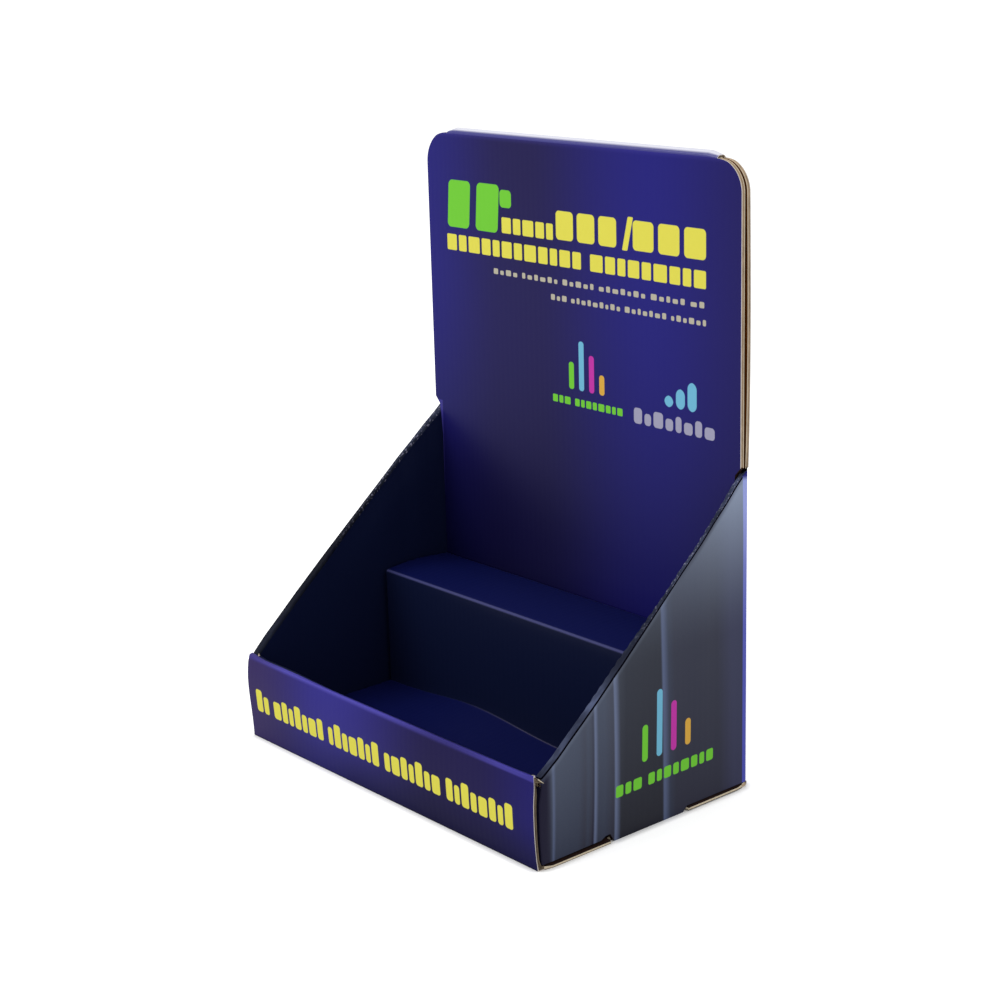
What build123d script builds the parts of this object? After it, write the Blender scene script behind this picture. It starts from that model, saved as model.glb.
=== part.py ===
"""Counter display stand of corrugated board: a tray with a tall header, and a stepped insert.

The tray is one cross-shaped sheet. Its lip, side walls and header are rolled over, so each is two
layers thick. The insert is a second sheet that stands in the tray and gives it two levels.
Millimetres, Z up, front towards -Y, origin on the ground under the middle of the tray.
"""
from build123d import *

import os

# Overall size of the standing display
WIDTH = 200.0
DEPTH = 121.0
HEIGHT = 272.0
LIP_HEIGHT = 40.0
SHOULDER_HEIGHT = 143.0

# The board and its folds
BOARD = 2.0
LINER = 0.4
FLUTE_RECESS = 0.8
PRESSED_GAP = 0.2
CREASE_RADIUS = 1.8
TIGHT_CREASE = 1.2
REAR_FOLD_RADIUS = 1.2

# Header: two layers of board with air between them
HEADER_GAP = 1.0
HEADER_CORNER = 17.0
SHOULDER_RELIEF = 0.6

# Side walls: the slope starts behind the lip and ends in front of the back panel
SLOPE_RISE = 0.4
SLOPE_DROP = 2.5
SLOPE_END = 2.5
WALL_FOOT = 2.4
FOOT_RELIEF = 1.6
TAB_START = 39.0
TAB_END = 84.0
TAB_TAPER = 2.5

# Flaps and flanges that the walls and the lip hide
CORNER_FLAP = 40.0
FLAP_EASING = 24.0
SIDE_FLANGE = 25.0
LIP_FLANGE = 24.0
FLANGE_CORNER = 6.0

# Stepped insert
RISER_FROM_FRONT = 76.5
STEP_HEIGHT = 65.2
INSERT_SIDE_CLEARANCE = 2.3
INSERT_FRONT_CLEARANCE = 1.0
INSERT_BACK_CLEARANCE = 0.5

# Worked out from the sizes above
LAYER = BOARD + PRESSED_GAP
WALL = LAYER + BOARD
HEADER_THICKNESS = 2 * BOARD + HEADER_GAP
FOLD_END = 2 * LAYER
LINING_FACE = DEPTH - HEADER_THICKNESS
INNER_WIDTH = WIDTH - 2 * WALL
SLOPE_FRONT = (LAYER, LIP_HEIGHT + SLOPE_RISE)
SLOPE_REAR = (DEPTH - SLOPE_END, SHOULDER_HEIGHT - SLOPE_DROP)
FLANGE_FOOT = LAYER
FLANGE_TOP = FLANGE_FOOT + BOARD
LIP_FLANGE_FOOT = FLANGE_TOP + PRESSED_GAP
LIP_FLANGE_TOP = LIP_FLANGE_FOOT + BOARD
LIP_BACK = 2 * LAYER + BOARD
TREAD_TOP = LIP_FLANGE_TOP + LAYER

# How near a corner lies to the point it was made from
SAME_PLACE = 0.01


def on_side(points):
    """Face in the YZ plane from points given as distance from the front and height."""
    moved = [(y - DEPTH / 2, z) for y, z in points]
    return make_face(Plane.YZ * Polyline(*moved, close=True))


def across(face, low, high):
    """Solid from a YZ face, from x = low to x = high."""
    return Pos(low, 0, 0) * extrude(face, high - low, dir=(1, 0, 0))


def plate(x_low, x_high, y_low, y_high, z_low, z_high):
    """Flat stretch of board; x from the middle, y from the front, z from the ground."""
    size = (x_high - x_low, y_high - y_low, z_high - z_low)
    centre = ((x_low + x_high) / 2, (y_low + y_high - DEPTH) / 2, (z_low + z_high) / 2)
    return Pos(*centre) * Box(*size)


def inset(points, distance):
    """Open line of points moved to its left by distance, with mitred corners."""
    line = [Vector(*p) for p in points]
    runs = [(b - a).normalized() for a, b in zip(line, line[1:])]
    normals = [Vector(-run.Y, run.X) for run in runs]
    moved = [line[0] + normals[0] * distance]
    for corner, before, after in zip(line[1:-1], normals, normals[1:]):
        mitre = before + after
        moved.append(corner + mitre * (distance / mitre.dot(before)))
    moved.append(line[-1] + normals[-1] * distance)
    return [(p.X, p.Y) for p in moved]


def corners_at(section, places):
    """Corners of a section that lie at the given places."""
    targets = [Vector(*place) for place in places]
    return [v for v in section.vertices() if min((Vector(*v) - t).length for t in targets) < SAME_PLACE]


def folded(points, radius):
    """Section of board folded along points: the outer corner of each fold is rounded.

    The points follow the printed face, with the board on their left.
    """
    under = inset(points, BOARD)
    section = on_side(points + under[::-1])
    outer_corners = []
    for before, corner, after, hidden in zip(points, points[1:], points[2:], under[1:-1]):
        turn = (Vector(*corner) - Vector(*before)).cross(Vector(*after) - Vector(*corner)).Z
        outer_corners.append(corner if turn > 0 else hidden)
    return fillet(corners_at(section, [(0, y - DEPTH / 2, z) for y, z in outer_corners]), radius)


def flute_opening(points):
    """Section of the open flute between the two liners, for the raw edge of a folded board."""
    near = inset(points, LINER)
    far = inset(points, BOARD - LINER)
    return on_side(near + far[::-1])


def raw_ends(section, half_width):
    """Grooves that the open flute leaves in both raw ends of a board half_width from the middle."""
    right = across(section, half_width - FLUTE_RECESS, half_width)
    return right + mirror(right, Plane.YZ)


def both_sides(part):
    """The part and its mirror image on the other side of the display."""
    return part + mirror(part, Plane.YZ)


# Tray

FRONT_AND_BASE = [
    (LAYER, LIP_HEIGHT), (0, LIP_HEIGHT), (0, 0), (DEPTH, 0), (DEPTH, WALL_FOOT),
]


def front_and_base():
    """Start of the lip's strip, lip outer panel, base and rear fold; notched for the tabs."""
    board = across(folded(FRONT_AND_BASE, CREASE_RADIUS), -WIDTH / 2, WIDTH / 2)
    board -= raw_ends(flute_opening(FRONT_AND_BASE), WIDTH / 2)
    notch = on_side([
        (TAB_START - PRESSED_GAP, 2 * BOARD), (TAB_START - PRESSED_GAP, -BOARD),
        (TAB_END + PRESSED_GAP, -BOARD), (TAB_END + PRESSED_GAP, 2 * BOARD),
    ])
    return board - both_sides(across(notch, WIDTH / 2 - LAYER, WIDTH / 2 + BOARD))


def side_outline():
    """Outline of a side wall's outer panel with its slope, foot relief and locking tab."""
    return on_side([
        (FOLD_END, WALL_FOOT), slope_point(FOLD_END), SLOPE_REAR, (SLOPE_REAR[0], WALL_FOOT),
        (TAB_END, WALL_FOOT), (TAB_END - TAB_TAPER, 0), (TAB_START + TAB_TAPER, 0),
        (TAB_START, WALL_FOOT + FOOT_RELIEF), (TAB_START - TAB_TAPER, WALL_FOOT + FOOT_RELIEF),
    ])


def slope_point(distance, drop=0.0):
    """Point on the slope at a distance from the front, lowered by drop."""
    (y0, z0), (y1, z1) = SLOPE_FRONT, SLOPE_REAR
    return distance, z0 + (z1 - z0) * (distance - y0) / (y1 - y0) - drop


def band(outer, radius, z_low, z_high):
    """Upright band of board seen from above along outer, with its folds rounded."""
    section = make_face(Polyline(*outer, *inset(outer, BOARD)[::-1], close=True))
    section = fillet(corners_at(section, outer[1:-1]), radius)
    return Pos(0, 0, z_low) * extrude(section, z_high - z_low, dir=(0, 0, 1))


def back_panel():
    """Back panel with both rear corner folds."""
    half, back = WIDTH / 2, DEPTH / 2
    fold_start = SLOPE_REAR[0] - DEPTH / 2
    outer = [(half, fold_start), (half, back), (-half, back), (-half, fold_start)]
    return band(outer, REAR_FOLD_RADIUS, WALL_FOOT, SHOULDER_HEIGHT)


def corner_flap():
    """Flap on the right side wall's front edge, tucked between the lip's two panels."""
    half, front = WIDTH / 2, LAYER - DEPTH / 2
    flap_end = half - BOARD - CORNER_FLAP
    turn = [(flap_end, front), (half, front), (half, front + LAYER)]
    flap = band(turn, CREASE_RADIUS, WALL_FOOT, slope_point(FOLD_END)[1])
    above_slope = across(on_side([
        SLOPE_FRONT, slope_point(FOLD_END), (FOLD_END, HEIGHT), (LAYER, HEIGHT),
    ]), flap_end, half)
    above_flap = plate(flap_end, half - BOARD, LAYER, FOLD_END, LIP_HEIGHT - LAYER, HEIGHT)
    return flap - above_slope - above_flap


def side_wall():
    """Right side wall: outer panel, sloping roll-over strip, inner panel and bottom flange."""
    half = WIDTH / 2
    rear = SLOPE_REAR[0]
    run = Vector(*SLOPE_REAR) - Vector(*SLOPE_FRONT)
    drop = BOARD * run.length / run.X
    outer = across(side_outline(), half - BOARD, half)
    strip = across(on_side([
        slope_point(FOLD_END), slope_point(rear), slope_point(rear, drop), slope_point(FOLD_END, drop),
    ]), half - WALL, half)
    inner = across(on_side([
        (FOLD_END, FLANGE_FOOT), slope_point(FOLD_END), slope_point(rear), (rear, FLANGE_FOOT),
    ]), half - WALL, half - LAYER)
    wall = outer + strip + inner
    slope = wall.faces().filter_by(lambda face: face.normal_at().Z > 0).sort_by(Axis.Z)[-1]
    creases = slope.edges().sort_by(SortBy.LENGTH)[-2:]
    wall = fillet(creases, TIGHT_CREASE)
    flange = plate(half - LAYER - SIDE_FLANGE, half - LAYER, LIP_BACK + PRESSED_GAP,
                   LINING_FACE - PRESSED_GAP, FLANGE_FOOT, FLANGE_TOP)
    free_corners = flange.edges().filter_by(Axis.Z).sort_by(Axis.X)[:2]
    return wall + chamfer(free_corners, FLANGE_CORNER)


def header_layer(y_low, y_high, z_low):
    """One layer of the header: a board with rounded top corners, and its open flute at the sides."""
    half = WIDTH / 2
    layer = plate(-half, half, y_low, y_high, z_low, HEIGHT)
    top_corners = layer.edges().filter_by(Axis.Y).group_by(Axis.Z)[-1]
    layer = fillet(top_corners, HEADER_CORNER)
    flute = plate(half - FLUTE_RECESS, half, y_low + LINER, y_high - LINER, z_low, HEIGHT - HEADER_CORNER)
    return layer - both_sides(flute)


def header():
    """Both header layers, the strip that joins them at the top, and the back's lining."""
    half_strip = WIDTH / 2 - HEADER_CORNER
    front_low = slope_point(LINING_FACE + BOARD)[1] + SHOULDER_RELIEF
    rear = header_layer(DEPTH - BOARD, DEPTH, SHOULDER_HEIGHT)
    front = header_layer(LINING_FACE, LINING_FACE + BOARD, front_low)
    fold_low = HEIGHT - HEADER_CORNER
    fold_line = [(DEPTH, fold_low), (DEPTH, HEIGHT), (LINING_FACE, HEIGHT), (LINING_FACE, fold_low)]
    fold = across(folded(fold_line, CREASE_RADIUS), -half_strip, half_strip)
    room = plate(-half_strip, half_strip, LINING_FACE, DEPTH, fold_low, HEIGHT)
    lining_half = INNER_WIDTH / 2 - PRESSED_GAP
    lining = plate(-lining_half, lining_half, LINING_FACE, LINING_FACE + BOARD,
                   LIP_FLANGE_FOOT, front_low)
    return (rear + front - room) + fold + lining


def lip_edge(distance):
    """Line of the lip's inner panel seen from above: it eases back where a flap is tucked in."""
    end = INNER_WIDTH / 2 - PRESSED_GAP
    flap_end = WIDTH / 2 - BOARD - CORNER_FLAP
    near = distance - DEPTH / 2
    far = near + LAYER
    behind_flap = Line((end, far), (flap_end - PRESSED_GAP, far))
    ease = Spline(behind_flap @ 1, (flap_end - FLAP_EASING, near), tangents=((-1, 0), (-1, 0)))
    middle = Line(ease @ 1, (0, near))
    half_line = behind_flap + ease + middle
    return half_line + mirror(half_line, Plane.YZ)


def between(near_line, far_line, z_low, z_high):
    """Solid between two lines seen from above."""
    ends = []
    for pick in (0, -1):
        near_end = near_line.vertices().sort_by(Axis.X)[pick]
        far_end = far_line.vertices().sort_by(Axis.X)[pick]
        ends.append(Line(tuple(near_end), tuple(far_end)).edge())
    face = make_face(near_line.edges() + far_line.edges() + ends)
    return Pos(0, 0, z_low) * extrude(face, z_high - z_low, dir=(0, 0, 1))


def lip_lining():
    """Rest of the lip's roll-over strip, its inner panel and the flange under the insert."""
    end = INNER_WIDTH / 2 - PRESSED_GAP
    outer_face = lip_edge(LAYER)
    inner_face = lip_edge(LAYER + BOARD)
    panel = between(outer_face, inner_face, LIP_FLANGE_FOOT, LIP_HEIGHT)
    strip_start = Line((-end, BOARD - DEPTH / 2), (end, BOARD - DEPTH / 2))
    strip = between(strip_start, inner_face, LIP_HEIGHT - BOARD, LIP_HEIGHT)
    lip = panel + strip
    rim = lip.faces().sort_by(Axis.Z)[-1].edges()
    front_and_ends = rim.sort_by(Axis.Y)[:1] + rim.filter_by(Axis.Y)
    lip = fillet(rim - front_and_ends, TIGHT_CREASE)
    flange = plate(-end, end, LIP_BACK, LIP_BACK + LIP_FLANGE, LIP_FLANGE_FOOT, LIP_FLANGE_TOP)
    free_corners = flange.edges().filter_by(Axis.Z).sort_by(Axis.Y)[-2:]
    flange = chamfer(free_corners, FLANGE_CORNER)
    root_line = Line((-end, LIP_BACK - DEPTH / 2), (end, LIP_BACK - DEPTH / 2))
    root = between(outer_face, root_line, LIP_FLANGE_FOOT, LIP_FLANGE_TOP)
    return lip + root + flange


def display_body():
    """The whole tray, folded from one sheet."""
    sides = both_sides(side_wall() + corner_flap())
    return front_and_base() + back_panel() + sides + header() + lip_lining()


# Insert

def step_insert():
    """Lower tread, riser, upper tread and rear leg, with the open flute at both raw ends."""
    half = INNER_WIDTH / 2 - INSERT_SIDE_CLEARANCE
    front = LIP_BACK + INSERT_FRONT_CLEARANCE
    rear = LINING_FACE - INSERT_BACK_CLEARANCE
    line = [
        (rear, LIP_FLANGE_FOOT), (rear, STEP_HEIGHT), (RISER_FROM_FRONT, STEP_HEIGHT),
        (RISER_FROM_FRONT, TREAD_TOP), (front, TREAD_TOP),
    ]
    board = across(folded(line, TIGHT_CREASE), -half, half)
    return board - raw_ends(flute_opening(line), half)


PARTS = {
    "display_body": display_body,
    "step_insert": step_insert,
}

os.makedirs("parts", exist_ok=True)
for node, build in PARTS.items():
    export_step(build(), f"parts/{node}.step")
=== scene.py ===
"""Looks of a counter display stand: folded board, film-covered print, raw edges and the studio.

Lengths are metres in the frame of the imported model: x from the middle, y from the middle of the
depth, z from the ground. While board is folded, y is counted from the front of the tray.
"""
import math
from collections import namedtuple

import bpy
import numpy as np
from mathutils import Matrix, Vector
from mathutils.geometry import delaunay_2d_cdt


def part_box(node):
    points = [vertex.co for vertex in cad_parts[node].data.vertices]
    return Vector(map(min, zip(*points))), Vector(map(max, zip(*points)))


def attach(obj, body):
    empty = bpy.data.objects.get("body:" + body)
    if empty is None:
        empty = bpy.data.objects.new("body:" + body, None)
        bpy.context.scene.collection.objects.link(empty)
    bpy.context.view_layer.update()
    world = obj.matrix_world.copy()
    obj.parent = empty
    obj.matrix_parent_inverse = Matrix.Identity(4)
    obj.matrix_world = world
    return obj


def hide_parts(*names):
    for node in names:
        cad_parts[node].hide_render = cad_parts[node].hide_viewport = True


bl_info = {
    "name": "Counter display stand",
    "version": (1, 0, 0),
    "blender": (4, 5, 0),
    "location": "3D View > Sidebar > Display stand",
    "description": "Dresses a folded board display stand around its packed model",
    "category": "Object",
}

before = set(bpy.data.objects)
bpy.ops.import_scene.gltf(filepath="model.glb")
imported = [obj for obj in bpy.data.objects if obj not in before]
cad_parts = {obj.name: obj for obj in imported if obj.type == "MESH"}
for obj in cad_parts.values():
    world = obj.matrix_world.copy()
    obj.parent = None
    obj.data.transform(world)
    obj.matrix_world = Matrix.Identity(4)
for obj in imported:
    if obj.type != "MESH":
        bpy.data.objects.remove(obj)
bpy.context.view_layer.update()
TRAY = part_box("display_body")
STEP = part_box("step_insert")


def mm(value):
    """Metres from millimetres."""
    return value * 0.001


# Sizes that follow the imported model
WIDTH = TRAY[1].x - TRAY[0].x
DEPTH = TRAY[1].y - TRAY[0].y
HEIGHT = TRAY[1].z
STEP_WIDTH = STEP[1].x - STEP[0].x
STEP_FRONT = STEP[0].y + DEPTH / 2
STEP_REAR = STEP[1].y + DEPTH / 2
STEP_FOOT = STEP[0].z
STEP_HEIGHT = STEP[1].z

# Board and its folds
BOARD = mm(2.0)
GAP = mm(0.2)
LAYER = BOARD + GAP
WALL = BOARD + LAYER
CREASE_RADIUS = mm(1.8)
TIGHT_CREASE = mm(1.2)
SCORED_CREASE = mm(0.6)
FOOT_CREASE = mm(0.35)
HIDDEN_CORNER = mm(0.25)
FOLD_REACH = mm(3.0)
ARC_STEPS = 5

# Tray
LIP_HEIGHT = mm(40.0)
SHOULDER_HEIGHT = mm(143.0)
WALL_FOOT = mm(2.4)
RIGHT_CORNER = mm(13.4)
LEFT_CORNER = mm(15.0)
RIGHT_DROP = mm(1.7)
LEFT_DROP = mm(1.0)
STRIP_ENDS = (LEFT_CORNER - WIDTH / 2, WIDTH / 2 - RIGHT_CORNER)
SHOULDER_RELIEF = mm(0.6)
SHOULDER_CUT = mm(3.4)
LINING_FACE = DEPTH - mm(5.0)
INNER_HALF = WIDTH / 2 - WALL
LINING_HALF = INNER_HALF - GAP
SLOPE_FRONT = (LAYER, LIP_HEIGHT - mm(0.2))
SLOPE_REAR = (DEPTH - mm(2.5), SHOULDER_HEIGHT - mm(3.1))
SHOULDER_STEPS = 4
LEG_PARTS = 3
STRIP_PARTS = 4
FLAP_PARTS = 8
WALL_START = LAYER + FOLD_REACH
WALL_END = DEPTH - FOLD_REACH
TAB = (mm(39.0), mm(84.0))
TAB_TAPER = mm(2.5)
FOOT_RELIEF = mm(1.6)
FOOT_RISE = mm(0.3)
FLAP_END = WIDTH / 2 - BOARD - mm(40.0)
FLAP_EASING = mm(24.0)
FLANGE_TOP = LAYER + BOARD
LIP_FLANGE_TOP = FLANGE_TOP + LAYER
LIP_BACK = 2 * LAYER + BOARD
LIP_STUB = mm(2.1)
SIDE_FLANGE = mm(25.0)
LIP_FLANGE = mm(24.0)
FLANGE_CORNER = mm(6.0)
RISER_FROM_FRONT = mm(76.5)
TREAD_TOP = LIP_FLANGE_TOP + LAYER

# Camera, fitted to the photograph
CAMERA_PLACE = (0.66062, -0.55093, 0.36466)
CAMERA_AZIMUTH = 49.688
CAMERA_ELEVATION = 15.784
CAMERA_ROLL = -1.609
CAMERA_LENS = 73.916
SENSOR = 36.0


def colour_property(name, description, red, green, blue):
    """Colour setting from display values out of 255."""
    return bpy.props.FloatVectorProperty(
        name=name, description=description, subtype="COLOR", size=3, min=0.0, max=1.0,
        default=(linear(red), linear(green), linear(blue)),
    )


def length_property(name, description, millimetres):
    """Length setting, kept in metres."""
    return bpy.props.FloatProperty(
        name=name, description=description, subtype="DISTANCE", unit="LENGTH",
        default=mm(millimetres), precision=5,
    )


def linear(display):
    """Linear value of a display value out of 255."""
    share = display / 255
    return share / 12.92 if share <= 0.04045 else ((share + 0.055) / 1.055) ** 2.4


class DisplayBoardSettings(bpy.types.PropertyGroup):
    """Sizes of the board and how far it gives."""

    liner: length_property("Liner", "Thickness of each liner at a raw edge", 0.4)
    flute_recess: length_property("Flute recess", "How far the cut flute lies behind the liners", 0.5)
    flute_pitch: length_property("Flute pitch", "Distance from flute to flute", 3.4)
    lip_bow: length_property("Lip bow", "How far the lip's right end bows forward", 2.05)
    wall_bow: length_property("Wall bow", "How far the side walls bow outward", 2.5)
    tread_arch: length_property("Tread arch", "How far the upper tread arches", 1.4)
    foot_bulge: length_property("Foot bulge", "How far the lower tread lifts at the riser", 4.4)
    header_gape: length_property("Header gape", "How far the header's rear layer stands off", 0.9)
    crown_rise: length_property("Crown rise", "How far the rear of the header's top strip bulges up", 0.9)
    lip_tip: length_property("Lip tip", "How far the lip's right end sticks up", 1.2)
    lip_sag: length_property("Lip sag", "How far the rear of the lip's rolled top hangs", 1.55)
    ruffle: length_property("Ruffle", "Height of the flute bumps along the slopes", 0.5)
    crush: length_property("Crush", "How far raw ends of the lip and the base are pressed together", 0.65)
    base_reach: length_property("Base reach", "How far the base's raw sides stand proud of the walls", 0.8)
    squeeze: bpy.props.FloatProperty(
        name="Squeeze", description="Share of a side wall's thickness that is pressed out at its rear",
        subtype="FACTOR", default=0.42, min=0.0, max=0.6)


class DisplayPrintSettings(bpy.types.PropertyGroup):
    """Colours of the print and the board, and of painted light and shade."""

    deep_blue: colour_property("Deep blue", "Main colour of the header and lip", 35, 30, 95)
    bright_blue: colour_property("Bright blue", "Light bands of the header and lip", 37, 34, 127)
    plum: colour_property("Plum", "Dull clouds of the header and lip", 34, 28, 76)
    # Dark blue for painted shade on the header, its lining and the lip's foot fold, and for the dark streaks
    # of the strips.
    shade_and_streak_blue: colour_property("Shade and streak blue", "Painted shade of the header, lining and lip foot, and dark strip streaks", 4, 5, 26)
    lip_blue: colour_property("Lip blue", "Light band of the lip", 56, 51, 141)
    # Lighter violet of the lip's left end: painted light where the light falls.
    lip_violet: colour_property("Lip violet", "Left end of the lip", 60, 48, 98)
    low_blue: colour_property("Low blue", "Foot of the lip", 6, 4, 50)
    # Blue of the painted highlights along the lip's top fold, under the header's top crease and on the
    # lining's left edge.
    highlight_blue: colour_property("Highlight blue", "Painted highlight on the lip's top fold, the header's top and the lining's edge", 84, 78, 176)
    glare: colour_property("Glare", "Painted glare on the header's top strip", 226, 226, 240)
    charcoal: colour_property("Charcoal", "Ground of the side walls", 46, 47, 64)
    night: colour_property("Night", "Dark front of the side walls", 30, 28, 50)
    steel: colour_property("Steel", "Broad bands of the side walls", 52, 58, 78)
    mist: colour_property("Mist", "Narrow bright bands of the side walls", 88, 99, 132)
    frost: colour_property("Frost", "Brightest narrow bands of the side walls", 102, 113, 146)
    violet: colour_property("Violet", "Rear bands of the side walls", 56, 58, 86)
    # Pale colour of a painted reflection on the side walls, strongest near their top.
    painted_reflection: colour_property("Painted reflection", "Painted reflection that pales the top of the side walls", 168, 182, 208)
    coal: colour_property("Coal", "Darkest broad band of the side walls", 35, 36, 47)
    wrap_blue: colour_property("Wrap blue", "Rear corners", 80, 85, 188)
    # Pale blue of the painted light at the top of the rear corners.
    wrap_highlight: colour_property("Wrap highlight", "Painted light at the top of the rear corners", 172, 184, 250)
    navy: colour_property("Navy", "Inside of the tray and the insert's upright faces", 18, 25, 56)
    tread_blue: colour_property("Tread blue", "Treads of the insert", 15, 21, 75)
    # Painted highlights along the folds of the insert's riser.
    foot_fold_highlight: colour_property("Foot fold highlight", "Painted highlight at the foot of the insert's riser", 92, 88, 112)
    top_fold_highlight: colour_property("Top fold highlight", "Painted highlight on the top fold of the insert's riser", 84, 86, 144)
    yellow: colour_property("Yellow", "Blocks on the header and lip", 240, 232, 90)
    green: colour_property("Green", "Green blocks", 120, 214, 60)
    sky: colour_property("Sky", "Light blue blocks", 120, 196, 228)
    magenta: colour_property("Magenta", "Magenta blocks", 206, 58, 176)
    amber: colour_property("Amber", "Amber blocks", 232, 180, 74)
    silver: colour_property("Silver", "Grey blocks", 172, 170, 196)
    pale: colour_property("Pale", "Fine blocks", 196, 190, 170)
    kraft: colour_property("Kraft", "Unprinted liner", 232, 216, 188)
    flute: colour_property("Flute", "Cut flutes", 208, 184, 154)
    # Kraft painted dark brown as shade, for the hidden faces between the layers.
    shadow_brown: colour_property("Shadow brown", "Painted shade of the liners between the layers", 130, 72, 14)
    paper: colour_property("Paper", "White face sheet at a raw edge", 238, 230, 222)


class DisplayStudioSettings(bpy.types.PropertyGroup):
    """Light of the studio."""

    sky: bpy.props.FloatProperty(name="Sky", description="Strength of the soft light", default=0.6, min=0.0)
    key: bpy.props.FloatProperty(
        name="Key", description="Power of the key lamp", default=26.0, min=0.0, unit="POWER")
    fill: bpy.props.FloatProperty(
        name="Fill", description="Power of the fill lamp", default=8.0, min=0.0, unit="POWER")


# Folding board

class Sheet:
    """A folded board: a mesh of its printed face, with the place of the inner face for each point."""

    def __init__(self):
        self.outer = []
        self.inner = []
        self.index = {}
        self.faces = []
        self.zones = []

    def point(self, outer, inner):
        """Number of a point, the same for patches that share it."""
        key = tuple(int(round(value * 2e5)) for value in (*outer, *inner))
        if key not in self.index:
            self.index[key] = len(self.outer)
            self.outer.append(tuple(outer))
            self.inner.append(tuple(inner))
        return self.index[key]

    def face(self, corners, zone):
        """A face whose printed side looks away from the inner face."""
        kept = [c for c, after in zip(corners, corners[1:] + corners[:1]) if c != after]
        if len(set(kept)) < 3:
            return
        outer = np.array([self.outer[c] for c in kept])
        inner = np.array([self.inner[c] for c in kept])
        normal = np.cross(outer[1] - outer[0], outer[2] - outer[0])
        if len(kept) == 4:
            normal = normal + np.cross(outer[2] - outer[0], outer[3] - outer[0])
        if normal @ (outer.mean(0) - inner.mean(0)) < 0:
            kept = kept[::-1]
        self.faces.append(kept)
        self.zones.append(zone)

    def grid(self, outer, inner, zone):
        """Faces over rows and columns of points."""
        numbers = [[self.point(o, i) for o, i in zip(*rows)] for rows in zip(outer, inner)]
        for low, high in zip(numbers, numbers[1:]):
            for a, b, c, d in zip(low, low[1:], high[1:], high):
                self.face([a, b, c, d], zone)

    def panel(self, outline, spacing, place, zone):
        """A flat panel of any outline; place puts flat points on its two faces."""
        outline = np.array(outline)
        given = np.array([*outline, *spread_inside(outline, spacing)])
        edges = [(k, (k + 1) % len(outline)) for k in range(len(outline))]
        points, _, triangles, sources, *_ = delaunay_2d_cdt(
            [Vector(p) for p in given], edges, [list(range(len(outline)))], 1, 1e-9)
        flat = np.array([given[same[0]] if same else tuple(p) for p, same in zip(points, sources)])
        outer, inner = place(flat)
        numbers = [self.point(o, i) for o, i in zip(outer, inner)]
        for corners in triangles:
            self.face([numbers[c] for c in corners], zone)

    def raw_edges(self):
        """Free edges of the sheet, in the order in which its faces run."""
        sides = {}
        for corners in self.faces:
            for a, b in zip(corners, corners[1:] + corners[:1]):
                sides[(a, b)] = corners
        return {edge: corners for edge, corners in sides.items() if edge[::-1] not in sides}


def spread_inside(outline, spacing):
    """Even points inside an outline, clear of its edge."""
    low, high = outline.min(0), outline.max(0)
    counts = np.maximum(np.ceil((high - low) / spacing).astype(int), 2)
    across, along = (np.linspace(a, b, n + 1)[1:-1] for a, b, n in zip(low, high, counts))
    points = np.array([(x, y) for x in across for y in along])
    ends = np.roll(outline, -1, axis=0)
    inside = np.zeros(len(points), bool)
    clear = np.full(len(points), np.inf)
    for a, b in zip(outline, ends):
        run = b - a
        share = np.clip((points - a) @ run / (run @ run), 0, 1)
        clear = np.minimum(clear, np.linalg.norm(points - a - share[:, None] * run, axis=1))
        if a[1] != b[1]:
            crosses = (a[1] > points[:, 1]) != (b[1] > points[:, 1])
            inside ^= crosses & (points[:, 0] < a[0] + run[0] * (points[:, 1] - a[1]) / run[1])
    return points[inside & (clear > 0.4 * spacing)]


def unit(vector):
    """The vector at length one."""
    return vector / np.linalg.norm(vector)


def inset(points, distance):
    """Open line moved to its left by distance, with mitred corners."""
    points = np.asarray(points, float)
    runs = [unit(b - a) for a, b in zip(points, points[1:])]
    normals = [np.array([-run[1], run[0]]) for run in runs]
    moved = [points[0] + normals[0] * distance]
    for corner, before, after in zip(points[1:-1], normals, normals[1:]):
        mitre = before + after
        moved.append(corner + mitre * distance / (mitre @ before))
    moved.append(points[-1] + normals[-1] * distance)
    return np.array(moved)


def arc_round(before, corner, after, radius):
    """Points of the arc that rounds a corner."""
    back, ahead = unit(before - corner), unit(after - corner)
    half = math.acos(np.clip(back @ ahead, -1, 1)) / 2
    centre = corner + unit(back + ahead) * radius / math.sin(half)
    start = corner + back * radius / math.tan(half) - centre
    end = corner + ahead * radius / math.tan(half) - centre
    turn = math.pi - 2 * half
    shares = np.linspace(0, 1, ARC_STEPS + 1)
    weights = [(math.sin((1 - t) * turn) / math.sin(turn), math.sin(t * turn) / math.sin(turn))
               for t in shares]
    return [centre + start * a + end * b for a, b in weights]


def folded_line(points, radii, divisions):
    """Printed and inner line of board folded along points, with the board on their left."""
    points = np.asarray(points, float)
    hidden = inset(points, BOARD)
    printed, inner = [points[0]], [hidden[0]]
    for k, radius in enumerate(radii):
        before, after = points[k + 1] - points[k], points[k + 2] - points[k + 1]
        outward = before[0] * after[1] - before[1] * after[0] > 0
        printed += arc_round(*points[k:k + 3], radius if outward else HIDDEN_CORNER)
        inner += arc_round(*hidden[k:k + 3], HIDDEN_CORNER if outward else radius)
    printed.append(points[-1])
    inner.append(hidden[-1])
    stops = [0]
    for k, count in enumerate(divisions):
        start = k * (ARC_STEPS + 1)
        stops += [start + share for share in np.linspace(0, 1, count + 1)[1:]]
        if k < len(radii):
            stops += [start + 1 + step for step in range(1, ARC_STEPS + 1)]
    numbers = np.arange(len(printed))
    lines = []
    for line in (printed, inner):
        line = np.array(line)
        lines.append(np.stack([np.interp(stops, numbers, line[:, axis]) for axis in (0, 1)], axis=1))
    return lines


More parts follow.
